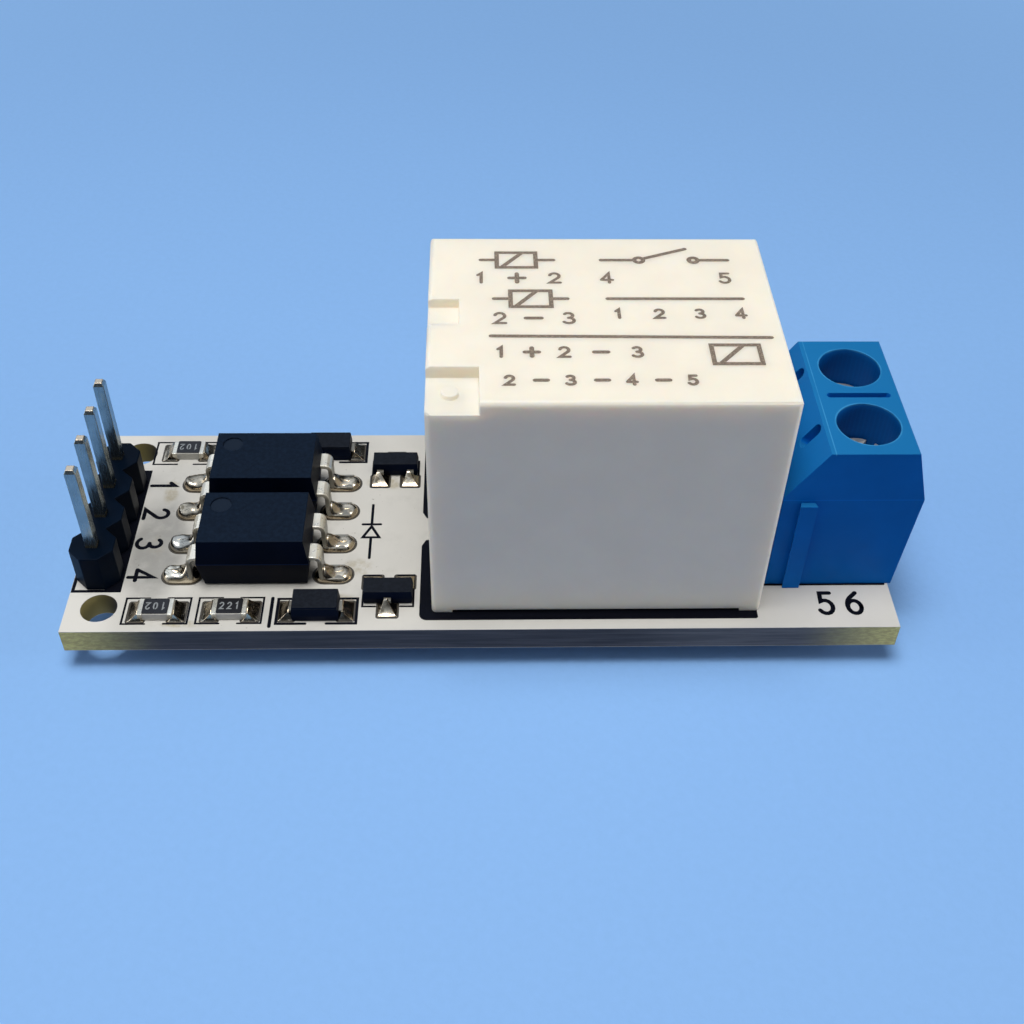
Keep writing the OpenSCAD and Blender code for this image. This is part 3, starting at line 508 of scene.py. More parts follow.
def rounded_outline(x0, y0, x1, y1, radius):
    """A rectangle with round corners."""
    left, right, front, back = x0 + radius, x1 - radius, y0 + radius, y1 - radius
    corners = ((right, back, 0), (left, back, 90), (left, front, 180), (right, front, 270))
    return [
        point for x, y, start in corners
        for point in arc(x, y, radius, radius, start, start + 90, 6)
    ]


# Strokes of each figure in a box one wide and one high
FIGURES = {
    "0": [arc(0.5, 0.5, 0.4, 0.5, 90, 450, 20)],
    "1": [[(0.25, 0.8), (0.52, 1), (0.52, 0)]],
    "2": [arc(0.48, 0.71, 0.38, 0.29, 165, -35) + [(0.1, 0), (0.92, 0)]],
    "3": [arc(0.45, 0.76, 0.34, 0.24, 145, -90), arc(0.45, 0.26, 0.42, 0.26, 90, -150)],
    "4": [[(0.68, 0), (0.68, 1), (0.06, 0.3)], [(0.06, 0.3), (0.95, 0.3)]],
    "5": [[(0.84, 1), (0.26, 1)] + arc(0.45, 0.32, 0.42, 0.32, 122, -150)],
    "6": [[(0.72, 1)] + arc(0.66, 0.34, 0.56, 0.52, 120, 180),
          arc(0.5, 0.31, 0.39, 0.31, 0, 360, 18)],
}


class Print:
    """Printed lines and figures, each a hair higher than the last, so that no faces coincide."""

    def __init__(self, finish, low, high):
        self.finish, self.low, self.high = finish, low, high
        self.bm = bmesh.new()

    def level(self):
        self.high += HAIR
        return self.high

    def line(self, points, width, closed=False):
        stroke(self.bm, points, width, self.low, self.level(), closed)

    def area(self, outline):
        prism(self.bm, outline, self.low, self.level())

    def bracket(self, x0, y0, x1, y1, width, gap):
        """Two facing C-shaped lines round a small part, open in the middle of each side."""
        middle = (x0 + x1) / 2
        for side, x in ((-1, x0), (1, x1)):
            inner = middle + side * gap / 2
            self.line([(inner, y0), (x, y0), (x, y1), (inner, y1)], width)

    def figures(self, text, x, y, height, weight, turn=0.0, wide=0.62):
        """A row of figures round a middle, their strokes weight millimetres thick."""
        spin = Matrix.Rotation(math.radians(turn), 2)
        pitch = height * wide * 1.3
        tall, across = height - weight, height * wide - weight
        for k, character in enumerate(text):
            shift = (k - (len(text) - 1) / 2) * pitch
            for points in FIGURES[character]:
                upright = [(shift + (u - 0.5) * across, (v - 0.5) * tall) for u, v in points]
                turned = [spin @ Vector(point) for point in upright]
                self.line([(x + q.x, y + q.y) for q in turned], weight)

    def add(self, name, slot):
        return add_piece(name, self.bm, self.finish)


# ------------------------------------------------------------------ geometry nodes


class Tree(Nodes):
    """A small geometry node tree with named inputs, run once and made a plain mesh."""

    family = "GeometryNode"

    def __init__(self, name):
        super().__init__(bpy.data.node_groups.new(name, "GeometryNodeTree"))
        self.values = {}
        self.inside = self.add("NodeGroupInput")
        self.outside = self.add("NodeGroupOutput")
        for way in ("OUTPUT", "INPUT"):
            self.socket("Geometry", way, "Geometry")

    def socket(self, name, way, kind):
        return self.tree.interface.new_socket(name, in_out=way, socket_type="NodeSocket" + kind)

    def input(self, name, kind, value):
        self.values[self.socket(name, "INPUT", kind).identifier] = value
        return self.inside.outputs[name]

    def mesh(self, geometry, finish):
        real = self.add("RealizeInstances", {0: geometry}).outputs[0]
        painted = self.add("SetMaterial", {"Geometry": real, "Material": finish.material})
        self.put(self.outside.inputs[0], painted.outputs[0])
        holder = bpy.data.objects.new(self.tree.name, bpy.data.meshes.new(self.tree.name))
        bpy.context.scene.collection.objects.link(holder)
        modifier = holder.modifiers.new("made", "NODES")
        modifier.node_group = self.tree
        for identifier, value in self.values.items():
            modifier[identifier] = value
        depsgraph = bpy.context.evaluated_depsgraph_get()
        mesh = bpy.data.meshes.new_from_object(holder.evaluated_get(depsgraph))
        bpy.data.objects.remove(holder)
        return mesh


# ------------------------------------------------------------------ settings


def colour_property(name, of, default):
    return FloatVectorProperty(
        name=name, description="Colour of " + of, subtype="COLOR", size=3, min=0, max=1,
        default=default,
    )


def number_property(name, description, default, low=0.0, high=1.0, **more):
    return FloatProperty(
        name=name, description=description, default=default, min=low, max=high, **more
    )


def length_property(name, description, default, low=0.0, high=0.1):
    return number_property(
        name, description, default, low, high, subtype="DISTANCE", unit="LENGTH", precision=5
    )


def angle_property(name, description, degrees):
    turn = math.radians(degrees)
    return number_property(name, description, turn, -math.pi, math.pi, subtype="ANGLE")


class BoardSettings(bpy.types.PropertyGroup):
    """Sizes and colours of the bare board."""

    mask_colour: colour_property("Mask", "the solder mask", (0.60, 0.59, 0.555))
    edge_colour: colour_property("Laminate", "the cut edges", (0.92, 0.84, 0.34))
    ink_colour: colour_property("Ink", "the printed lines", (0.0015, 0.002, 0.005))
    mask_thickness: length_property("Mask thickness", "Depth of the white coat", 0.00003)
    line: length_property("Line", "Width of the fine printed lines", 0.00012)
    figure: length_property("Figures", "Height of the printed figures", 0.0017)
    flux: number_property("Flux", "Strength of the flux stains", 0.75, subtype="FACTOR")


class PartSettings(bpy.types.PropertyGroup):
    """Finishes of the header and the surface-mounted parts."""

    header_colour: colour_property("Header", "its plastic", (0.0013, 0.0048, 0.0125))
    # The pins' colour is darker and bluer than tin, partly a painted reflection of the blue floor
    pin_colour: colour_property("Pins", "the tinned pins", (0.33, 0.385, 0.39))
    cut_colour: colour_property("Cut ends", "the pins' cut ends", (0.62, 0.50, 0.36))
    package_colour: colour_property("Packages", "their mouldings", (0.0006, 0.0026, 0.0100))
    lead_colour: colour_property("Leads", "tinned leads", (0.86, 0.81, 0.68))
    coat_colour: colour_property("Coat", "the resistors' coat", (0.012, 0.012, 0.014))
    code_colour: colour_property("Codes", "the resistors' figures", (0.27, 0.29, 0.30))


class SolderSettings(bpy.types.PropertyGroup):
    """Shape and finish of the solder."""

    colour: colour_property("Solder", "the solder", (0.62, 0.52, 0.38))
    ring_colour: colour_property("Rim", "the bare rim round a pad", (0.022, 0.018, 0.012))
    rim: length_property("Rim", "Width of the bare rim round a pad", 0.00011)
    roughness: number_property("Roughness", "Roughness of the solder", 0.2, subtype="FACTOR")


class RelaySettings(bpy.types.PropertyGroup):
    """Finishes of the relay."""

    case_colour: colour_property("Case", "the cover", (0.90, 0.835, 0.72))
    print_colour: colour_property("Print", "the wiring diagram", (0.17, 0.135, 0.105))
    line: length_property("Line", "Width of the diagram's lines", 0.00025)
    set_colour: colour_property("Set coil", "the set coil's wire", (0.45, 0.16, 0.05))
    reset_colour: colour_property("Reset coil", "the reset coil's wire", (0.30, 0.07, 0.02))
    wire: length_property("Wire", "Diameter of the coils' wire", 0.00025)


class TerminalSettings(bpy.types.PropertyGroup):
    """Finishes of the terminal block and the thread of its screws."""

    colour: colour_property("Housing", "the housing", (0.0015, 0.132, 0.49))
    screw_colour: colour_property("Screws", "the screws", (0.50, 0.485, 0.45))
    pitch: length_property("Pitch", "Pitch of the screws' thread", 0.0005)
    edge: length_property("Edges", "Radius of the housing's edges", 0.00008)


class StageSettings(bpy.types.PropertyGroup):
    """Camera, lamps and floor."""

    floor_colour: colour_property("Floor", "the floor", (0.25, 0.47, 0.85))
    haze_colour: colour_property("Haze", "the far floor and beyond", (0.275, 0.505, 0.87))
    bounce_colour: colour_property("Bounce", "the light off the floor", (0.22, 0.275, 0.44))
    sky_colour: colour_property("Sky", "the surroundings", (0.68, 0.80, 1.0))
    distance: length_property("Distance", "Distance of the camera", 0.080764, 0.01, 1.0)
    azimuth: angle_property("Azimuth", "Turn of the camera round the part", -2.216)
    elevation: angle_property("Elevation", "Angle of the camera above the floor", 43.968)
    roll: angle_property("Roll", "Turn of the camera about its own line of sight", 1.312)
    lens: number_property("Lens", "Focal length in millimetres", 45.51, 10, 300)
    key: number_property("Key", "Power of the lamp overhead", 0.53, 0, 9, unit="POWER")
    fill: number_property("Fill", "Power of the lamp at the left", 0.15, 0, 9, unit="POWER")
    rim: number_property("Rim", "Power of the lamp at the right", 0.22, 0, 9, unit="POWER")
    world: number_property("World", "Strength of the surroundings", 0.09, 0, 2)
    mirrored: number_property("Mirrored", "Their strength in reflections", 0.5, 0, 2)


# ------------------------------------------------------------------ operators


class Maker(bpy.types.Operator):
    """Shared start of the operators below."""

    bl_options = {"REGISTER", "UNDO"}

    def execute(self, context):
        self.make(context.scene)
        return {"FINISHED"}


class RELAYBOARD_OT_board(Maker):
    """Gives the board its mask, laminate and printed lines"""

    bl_idname = "relayboard.board"
    bl_label = "Board"

    def make(self, scene):
        s = scene.relayboard_board
        mask = mask_finish(s)
        dress(["board"], mask)
        self.tracks(mask)
        ink = Finish("board_ink", s.ink_colour, 0.55, Specular_IOR_Level=0.06)
        wear = ink.noise(0.12, 3)
        ink.paint(ink.mix(ink.band(wear, 0.5, 0.8), s.ink_colour, tint(s.ink_colour, 2.4)))
        ink.bump(wear, 0.003)
        made = Print(ink, 0, INK_DEPTH)
        fine, medium, bold = s.line / MM, 0.17, 0.2
        # Foot of the header, filled in along its right side
        a, b = span("header_housing")
        made.line([(a.x - 0.1, a.y - 0.1), (b.x + 0.06, a.y - 0.1), (b.x + 0.06, b.y + 0.1),
                   (a.x - 0.1, b.y + 0.1)], bold, closed=True)
        made.area([(b.x - 0.8, a.y - 0.05), (b.x + 0.1, a.y - 0.05), (b.x + 0.1, b.y + 0.05),
                   (b.x - 0.8, b.y + 0.05)])
        # Brackets round the resistors
        for name, left, right, front, back in (
            ("resistor_1", 0.92, 0.8, 0.25, 0.47),
            ("resistor_2", 0.92, 0.8, 0.25, 0.47),
            ("resistor_3", 1.2, 0.9, 0.45, 0.43),
        ):
            a, b = span(name + "_caps")
            made.bracket(a.x - left, a.y - front, b.x + right, b.y + back, fine, 1.05)
        # Brackets round the diodes
        for name in ("diode_front", "diode_rear"):
            a, b = span(name + "_body")
            made.bracket(a.x - 0.9, a.y - 0.13, b.x + 0.97, b.y + 0.18, medium, 1.2)
        # Corners round the transistors
        for name, flip in (("transistor_front", 1), ("transistor_rear", -1)):
            a, b = span(name + "_body")
            front, back = (a.y - 0.15, b.y + 1.0) if flip > 0 else (b.y + 0.15, a.y - 1.0)
            for side, x in ((1, a.x - 0.02), (-1, b.x + 0.02)):
                made.line([(x + side * 0.95, back), (x, back), (x, front),
                           (x + side * 0.75, front)], fine)
        # Divider beside the second resistor
        a, b = span("resistor_2_caps")
        made.line([(b.x + 1.3, 0.32), (b.x + 1.3, 2.5)], bold)
        self.band(made)
        # Foot of the terminal block
        a, b = span("terminal_housing")
        made.line([(a.x - 0.05, a.y + 0.3), (b.x - 0.9, a.y + 0.3)], bold)
        # Diode sign between the optocouplers and the relay
        x, y = 17.2, 8.0
        made.line([(x, y - 2.3), (x, y - 0.62)], medium)
        made.line([(x, y + 0.66), (x, y + 2.3)], medium)
        made.line([(x - 0.5, y - 0.55), (x + 0.5, y - 0.55), (x, y + 0.4)], medium, closed=True)
        made.line([(x - 0.55, y + 0.58), (x + 0.55, y + 0.58)], medium)
        size = s.figure / MM
        for i in range(4):
            a, b = span(f"header_pin_{i + 1}")
            made.figures(str(4 - i), 3.85, (a.y + b.y) / 2 - 0.1 + 0.05 * i, size, 0.24, 270, 0.72)
        made.figures("56", 44.85, 1.85, size * 1.1, 0.27, wide=0.68)
        made.add("board_print", "board")

    def band(self, made):
        """The broad printed band round the relay, broken on the left between two points."""
        a, b = span("relay_cover")
        wide, corner = 0.72, 0.45
        x0, y0 = a.x - wide, a.y - 0.58
        inner, right = a.x + 0.3, b.x - 0.15
        outline = [(right, a.y + 0.3), (right, y0 + 0.1), (right - 0.1, y0)]
        outline += arc(x0 + corner, y0 + corner, corner, corner, 270, 180, 6)
        outline += [(x0, 6.7), (x0 + 0.25, 7.2), (inner, 7.2), (inner, a.y + 0.3)]
        made.area(outline)
        made.area([(x0 + 0.25, 9.1), (inner, 9.1), (inner, b.y + 0.1), (x0, b.y + 0.1), (x0, 9.6)])

    def tracks(self, mask):
        """Copper tracks under the mask of the lower face, from joint to joint."""
        under = span("board")[0].z
        made = Print(mask, under, under - TRACK_DEPTH)
        header, (first, second), strip, yoke, (left, near, far) = leads()
        for points, width in (
            ([strip, (second.x - 4.0, strip.y), (second.x - 1.5, second.y), second], 2.2),
            ([yoke, (yoke.x + 2.0, 2.2), (first.x - 3.0, 2.2), first], 1.4),
            ([header[0], (4.5, 3.2), (15.0, 3.2), left], 0.6),
            ([header[1], (8.0, header[1].y), (9.5, 5.6), (18.5, 5.6), near], 0.45),
            ([header[3], (5.0, 13.6), (19.5, 13.6), far], 0.45),
            ([header[2], (12.0, header[2].y), (13.5, 11.2), (18.0, 11.2)], 0.45),
        ):
            made.line(points, width)
        made.add("board_tracks", "board")


class RELAYBOARD_OT_header(Maker):
    """Finishes the header's plastic and pins"""

    bl_idname = "relayboard.header"
    bl_label = "Header"

    def make(self, scene):
        s = scene.relayboard_parts
        black = plastic("header_plastic", s.header_colour, 0.38, 0.1, 0.004, 0.3, 0.035)
        dress(["header_housing"], black, 0.06)
        f = metal("header_pin_tin", s.pin_colour, 0.22, 0.12, 0.002, 0.85, (1, 1, 12), 0.9)
        foot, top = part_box("header_housing")[1].z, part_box("header_pin_1")[1].z
        first, second = (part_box(f"header_pin_{i}")[1].y for i in (1, 2))
        _, y, z = f.axes()
        paler_areas = f.band(f.noise(0.5, 3, 0.6, (1, 1, 5)), 0.6, 0.7, 0.0, 0.35)
        # The pins shade each other's feet, but nothing stands before the first
        shade = f.product(f.band(z, foot, foot + 3.5 * MM, 0.6, 0.0), f.band(y, first, second))
        # Painted glint: a yellowish band where each pin enters the housing
        entry_glint = f.band(z, foot + 0.1 * MM, foot + 0.3 * MM, 0.8, 0.0)
        f.stain(paler_areas, RUBBED_TIN)
        f.stain(shade, tint(s.pin_colour, 0.22))
        f.stain(entry_glint, GLINT_TIN)
        f.stain(f.band(z, top - 0.06 * MM, top - 0.02 * MM), s.cut_colour)
        dress([f"header_pin_{i}" for i in range(1, 5)], f, 0.035)


class RELAYBOARD_OT_packages(Maker):
    """Finishes the optocouplers, diodes and transistors"""

    bl_idname = "relayboard.packages"
    bl_label = "Packages"

    def make(self, scene):
        s = scene.relayboard_parts
        places = ("front", "rear")
        body = self.compound("moulding_compound", s.package_colour, ("opto_front_body",),
                             LIT_TOP_MOULDING)
        seam = body.gap(body.axes()[2], place(0, 0, MOULD_SEAM).z)
        # Painted highlight: a pale line along the mould seam
        body.stain(body.band(seam, 0.01 * MM, 0.04 * MM, 0.8, 0.0), tint(s.package_colour, 7))
        # Ejector dimples: a smooth floor that shines
        dimples = []
        radius = DIMPLE_RADIUS + 0.01
        for k in places:
            a, b = span(f"opto_{k}_body")
            reach = body.reach(place(a.x + 1.25, b.y - 1.25, b.z - 0.1), radius, radius, 0.08)
            dimples.append(body.math("LESS_THAN", reach, 1.0))
        dimple = body.either(dimples)
        body.stain(dimple, DIMPLE_FLOOR)
        rough = body.shader.inputs["Roughness"].links[0].from_socket
        body.gloss(body.add("Mix", {0: dimple, 2: rough, 3: 0.16}).outputs[0])
        dress([f"opto_{k}_body" for k in places], body, 0.05)
        small = self.compound("small_moulding", tint(s.package_colour, 1.4),
                              ("diode_front_body", "transistor_front_body"),
                              LIT_TOP_SMALL_MOULDING)
        dress([f"{p}_{k}_body" for p in ("diode", "transistor") for k in places], small, 0.04)
        # The legs of the leads are painted dark as shade, below their bright shoulders
        lead = metal("tinned_lead", s.lead_colour, 0.34, 0.3, 0.0008, 0.92, metallic=0.6)
        shoulder = place(0, 0, 1.5).z, place(0, 0, 2.05).z
        lead.stain(lead.band(lead.axes()[2], *shoulder, 0.95, 0.0), tint(s.lead_colour, 0.22))
        dress([f"opto_{k}_leads" for k in places], lead, 0.04)
        dress([f"{p}_{k}_leads" for p in ("diode", "transistor") for k in places], lead, 0.02)

    def compound(self, name, colour, tops, pale):
        """Dark moulding, with its top face painted paler, as lit from above."""
        f = plastic(name, colour, 0.46, 0.07, 0.004, 0.3, 0.04)
        z = f.axes()[2]
        # Painted light: the top faces are painted paler, as lit from above
        paler_areas = [f.band(f.gap(z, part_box(node)[1].z), 0.015 * MM, 0.045 * MM, 1.0, 0.0)
                  for node in tops]
        grain = f.band(f.noise(0.25, 4, 0.7), 0.3, 0.75, 0.75, 1.25)
        lighter = f.add("VectorMath", {0: pale, 3: grain}, operation="SCALE").outputs[0]
        f.stain(f.either(paler_areas), lighter)
        return f


class RELAYBOARD_OT_resistors(Maker):
    """Finishes the chip resistors and prints their figures"""

    bl_idname = "relayboard.resistors"
    bl_label = "Resistors"

    def make(self, scene):
        s = scene.relayboard_parts
        ceramic = plastic("resistor_ceramic", (0.50, 0.49, 0.45), 0.6, 0.06, 0.003, 0.08)
        caps = metal("resistor_cap", tint(s.lead_colour, 0.8), 0.34, 0.1, 0.003, metallic=0.8)
        coat = plastic("resistor_glass_coat", s.coat_colour, 0.3, 0.15, 0.002, 0.2)
        code = Finish("resistor_figures", s.code_colour, 0.5)
        wear = code.noise(0.05, 2)
        code.paint(code.mix(code.band(wear, 0.35, 0.6), tint(s.code_colour, 0.6), s.code_colour))
        level = span("resistor_1_coat")[1].z
        made = Print(code, level - 0.003, level + 0.004)
        for i, (text, turn) in enumerate((("102", 180), ("221", 0), ("102", 180)), 1):
            name = f"resistor_{i}"
            dress([name + "_body"], ceramic, 0.02)
            dress([name + "_caps"], caps, 0.04)
            dress([name + "_coat"], coat, 0.015)
            a, b = span(name + "_coat")
            made.figures(text, (a.x + b.x) / 2, (a.y + b.y) / 2, 0.56, 0.08, turn, 0.6)
        made.add("resistor_codes", "resistor_coat")


class RELAYBOARD_OT_relay(Maker):
    """Finishes the relay's case, print and works"""

    bl_idname = "relayboard.relay"
    bl_label = "Relay"

    def make(self, scene):
        s = scene.relayboard_relay
        case = plastic("relay_case_plastic", s.case_colour, 0.4, 0.16, 0.004, 0.02)
        case.set(Subsurface_Weight=0.7, Subsurface_Scale=1.1 * MM,
                 Subsurface_Radius=(1.0, 0.8, 0.6))
        dress(["relay_cover"], case, 0.05, 2, 50)
        dress(["relay_base"], plastic("relay_base_plastic", tint(s.case_colour, 0.9), 0.45), 0.05)
        self.print_diagram(s)
        iron = metal("plated_iron", (0.5, 0.5, 0.48), 0.32, 0.2)
        dress(["relay_core", "relay_yoke", "relay_armature"], iron, 0.06)
        dress(["relay_magnet"], plastic("sintered_magnet", (0.05, 0.05, 0.055), 0.5), 0.04)
        dress(["relay_bobbin"], plastic("bobbin_plastic", (0.03, 0.03, 0.032), 0.45), 0.05)
        alloy = metal("copper_alloy_strip", (0.60, 0.33, 0.14), 0.3, 0.2)
        dress(["relay_contact_spring", "relay_fixed_terminal", "relay_common_terminal"], alloy,
              0.03)
        silver = metal("contact_silver", (0.80, 0.79, 0.75), 0.25, 0.2)
        dress(["relay_moving_contact", "relay_fixed_contact"], silver, 0.05)
        dress(["relay_coil_pins"], metal("coil_pin_tin", (0.62, 0.6, 0.55), 0.25), 0.04)
        self.wind("set", s.set_colour, s.wire)
        self.wind("reset", s.reset_colour, s.wire)

    def wind(self, coil, colour, wire):
        """Turns of enamelled wire, one ring above another, over the solid of a coil."""
        node = f"relay_{coil}_coil"
        low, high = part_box(node)
        middle, size = (low + high) / 2, high - low
        turns = max(2, int(size.z / wire))
        step = size.z / turns
        enamel = Finish(node + "_enamel", colour, 0.25, 0.8)
        enamel.paint(enamel.mix(enamel.noise(0.8), tint(colour, 0.8), tint(colour, 1.2)))
        tree = Tree(node + "_winding")
        count = tree.input("Turns", "Int", turns)
        pitch = tree.input("Step", "Float", step)
        radius = tree.input("Coil radius", "Float", size.x / 2 - step / 2)
        thick = tree.input("Wire radius", "Float", step / 2)
        start = tree.input("Base", "Vector", (middle.x, middle.y, low.z + step / 2))
        rail = tree.add("CurvePrimitiveCircle", {"Resolution": 48, "Radius": radius})
        section = tree.add("CurvePrimitiveCircle", {"Resolution": 8, "Radius": thick})
        turn = tree.add("CurveToMesh", {"Curve": rail.outputs[0],
                                        "Profile Curve": section.outputs[0]})
        up = tree.add("ShaderNodeCombineXYZ", {2: pitch})
        line = tree.add("MeshLine", {"Count": count, "Start Location": start,
                                     "Offset": up.outputs[0]})
        rings = tree.add("InstanceOnPoints", {"Points": line.outputs[0],
                                              "Instance": turn.outputs[0]})
        mesh = tree.mesh(rings.outputs[0], enamel)
        add_mesh(node + "_winding", mesh, enamel, replaces=(node,), smooth=60)

    def print_diagram(self, s):
        """A generic wiring diagram: two coils, a contact, pin numbers and a rule."""
        ink = Finish("relay_print_ink", s.print_colour, 0.5, Specular_IOR_Level=0.25)
        wear = ink.noise(0.09, 3)
        ink.paint(ink.mix(ink.band(wear, 0.42, 0.75), s.print_colour, tint(s.print_colour, 2.2)))
        a, b = span("relay_cover")
        made = Print(ink, b.z - 0.004, b.z + 0.002)
        width = s.line / MM

        def at(u, v):
            return (a.x + u, a.y + v)

        def trace(*points, closed=False):
            made.line([at(*p) for p in points], width, closed)

        def ringlet(u, v, r=0.25):
            trace(*arc(u, v, r, r, 0, 345, 23), closed=True)

        def figure(text, u, v, size=1.1):
            made.figures(text, *at(u, v), size, width * 0.75, wide=0.8)

        def sign(u, v, plus, r=0.42):
            trace((u - r, v), (u + r, v))
            if plus:
                trace((u, v - r), (u, v + r))

        def coil(u, v, left, right):
            trace((u - 1.1, v - 0.75), (u + 1.1, v - 0.75), (u + 1.1, v + 0.75),
                  (u - 1.1, v + 0.75), closed=True)
            trace((u - 0.85, v - 0.75), (u + 0.35, v + 0.75))
            trace((left, v), (u - 1.1, v))
            trace((u + 1.1, v), (right, v))

        # The contact and its two terminals, and the first coil
        coil(4.9, 12.8, 2.9, 7.0)
        trace((9.7, 12.8), (11.6, 12.8))
        ringlet(11.85, 12.8)
        trace((12.1, 12.95), (14.6, 13.95))
        ringlet(14.95, 12.8)
        trace((15.2, 12.8), (16.9, 12.8))
        figure("1", 2.9, 11.0)
        figure("2", 7.0, 11.0)
        figure("4", 9.9, 11.0)
        figure("5", 16.5, 11.0)
        sign(4.9, 11.0, True)
        # The second coil
        coil(5.6, 9.0, 3.6, 7.6)
        figure("2", 3.9, 7.2)
        figure("3", 7.6, 7.2)
        sign(5.7, 7.2, False)
        trace((9.8, 9.0), (17.2, 9.0))
        for k in range(4):
            figure(str(k + 1), 10.3 + 2.2 * k, 7.6, 0.95)
        # The rule, and below it the order of the terminals
        trace((3.4, 5.6), (18.2, 5.45))
        for u, v, text in ((3.9, 4.2, "1"), (7.2, 4.2, "2"), (11.0, 4.2, "3")):
            figure(text, u, v, 1.0)
        sign(5.5, 4.2, True, 0.36)
        sign(9.1, 4.2, False, 0.36)
        trace((14.9, 3.2), (17.4, 3.2), (17.4, 4.8), (14.9, 4.8), closed=True)
        trace((15.2, 3.2), (16.6, 4.8))
        for u, text in ((4.3, "2"), (7.4, "3"), (10.5, "4"), (13.6, "5")):
            figure(text, u, 1.85, 0.9)
        for u in (5.9, 9.0, 12.1):
            sign(u, 1.85, False, 0.32)
        made.add("relay_print", "relay_plastic")


class RELAYBOARD_OT_terminal(Maker):
    """Finishes the terminal block and threads its screws"""

    bl_idname = "relayboard.terminal"
    bl_label = "Terminal block"

    def make(self, scene):
        s = scene.relayboard_terminal
        f = plastic("terminal_plastic", s.colour, 0.36, 0.14, 0.003, 0.06, 0.06)
        seam = f.gap(f.axes()[2], place(0, 0, HOUSING_SEAM).z)
        # Painted highlight: a pale line round the housing at its seam
        f.stain(f.band(seam, 0.02 * MM, 0.05 * MM, 0.35, 0.0), tint(s.colour, 1.7))
        self.paint_light_and_shade(f)
        dress(["terminal_housing"], f, s.edge / MM, 2, 40)
        steel = metal("clamp_steel", (0.56, 0.55, 0.5), 0.3)
        dress(["terminal_clamp_1", "terminal_clamp_2"], steel, 0.05)
        tin = metal("contact_tin", (0.68, 0.66, 0.58), 0.25)
        dress(["terminal_pin_1", "terminal_pin_2"], tin, 0.04)
        zinc = metal("screw_zinc", s.screw_colour, 0.42, 0.2, 0.0015, 0.9, metallic=0.85)
        dress(["terminal_screw_1", "terminal_screw_2"], zinc, 0.06, 3)
        for i in (1, 2):
            self.thread(i, zinc, s.pitch)

    def paint_light_and_shade(self, f):
        """Painted light and shade: upward faces painted paler as lit, painted shade down the
        bores, and painted highlights round the holes and along the top.
        """
        low, high = span("terminal_housing")
        z = f.axes()[2]

        def below_top(start, stop):
            return place(0, 0, high.z - start).z, place(0, 0, high.z - stop).z

        # Painted light: faces that look up are painted paler
        facing = f.add("SeparateXYZ", {0: f.add("NewGeometry").outputs["True Normal"]}).outputs[2]
        f.stain(f.band(facing, 0.35, 0.7), LIT_TOP_BLUE)
        lines, bores = [], []
        screws = [middle_of(f"terminal_screw_{i}") for i in (1, 2)]
        for screw in screws:
            ring = f.reach(place(*screw), BORE_RADIUS, BORE_RADIUS, 0)
            lines.append(f.band(f.gap(ring, 1.01), 0.015, 0.05, 1.0, 0.0))
            bores.append(f.band(ring, 0.99, 1.01, 1.0, 0.0))
        # Painted shade down the walls of the bores, darker with depth
        deep = f.band(z, *below_top(0.5, 0.02), 1.0, 0.0)
        f.stain(f.product(f.either(bores), deep), BORE_SHADE_BLUE)
        for centre, half in (
            ((screws[0].x, low.y), (0, 0.05)),
            ((low.x + 2.35, 0), (0.045, 0)),
            ((low.x + 7.2, 0), (0.05, 0)),
        ):
            lines.append(f.patch(centre, half, 0.4))
        # Painted highlight: mottled pale lines round the bores' rims and along the top edges
        paler_areas = f.product(f.either(lines), f.band(z, *below_top(0.16, 0.05)),
                           f.band(f.noise(1.2, 3), 0.3, 0.6, 0.2, 0.6))
        f.stain(paler_areas, EDGE_HIGHLIGHT_BLUE)

    def thread(self, i, finish, pitch):
        """A fine ridge that winds up the shank of a screw."""
        low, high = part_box(f"terminal_screw_{i}")
        middle = (low + high) / 2
        tree = Tree(f"terminal_screw_{i}_thread")
        step = tree.input("Pitch", "Float", pitch)
        radius = tree.input("Shank radius", "Float", (SHANK_RADIUS - 0.02) * MM)
        length = tree.input("Length", "Float", 2.6 * MM)
        base = tree.input("Base", "Vector", (middle.x, middle.y, low.z + 0.15 * MM))
        spiral = tree.add("CurveSpiral", {
            "Resolution": 32, "Rotations": tree.math("DIVIDE", length, step),
            "Start Radius": radius, "End Radius": radius, "Height": length,
        })
        ridge = tree.add("CurvePrimitiveCircle", {"Resolution": 3, "Radius": 0.045 * MM})
        swept = tree.add("CurveToMesh", {"Curve": spiral.outputs[0], "Fill Caps": True,
                                         "Profile Curve": ridge.outputs[0]})
        moved = tree.add("Transform", {"Geometry": swept.outputs[0], "Translation": base})
        mesh = tree.mesh(moved.outputs[0], finish)
        add_mesh(f"terminal_screw_{i}_thread", mesh, finish, f"screw_{i}",
                 smooth=30)


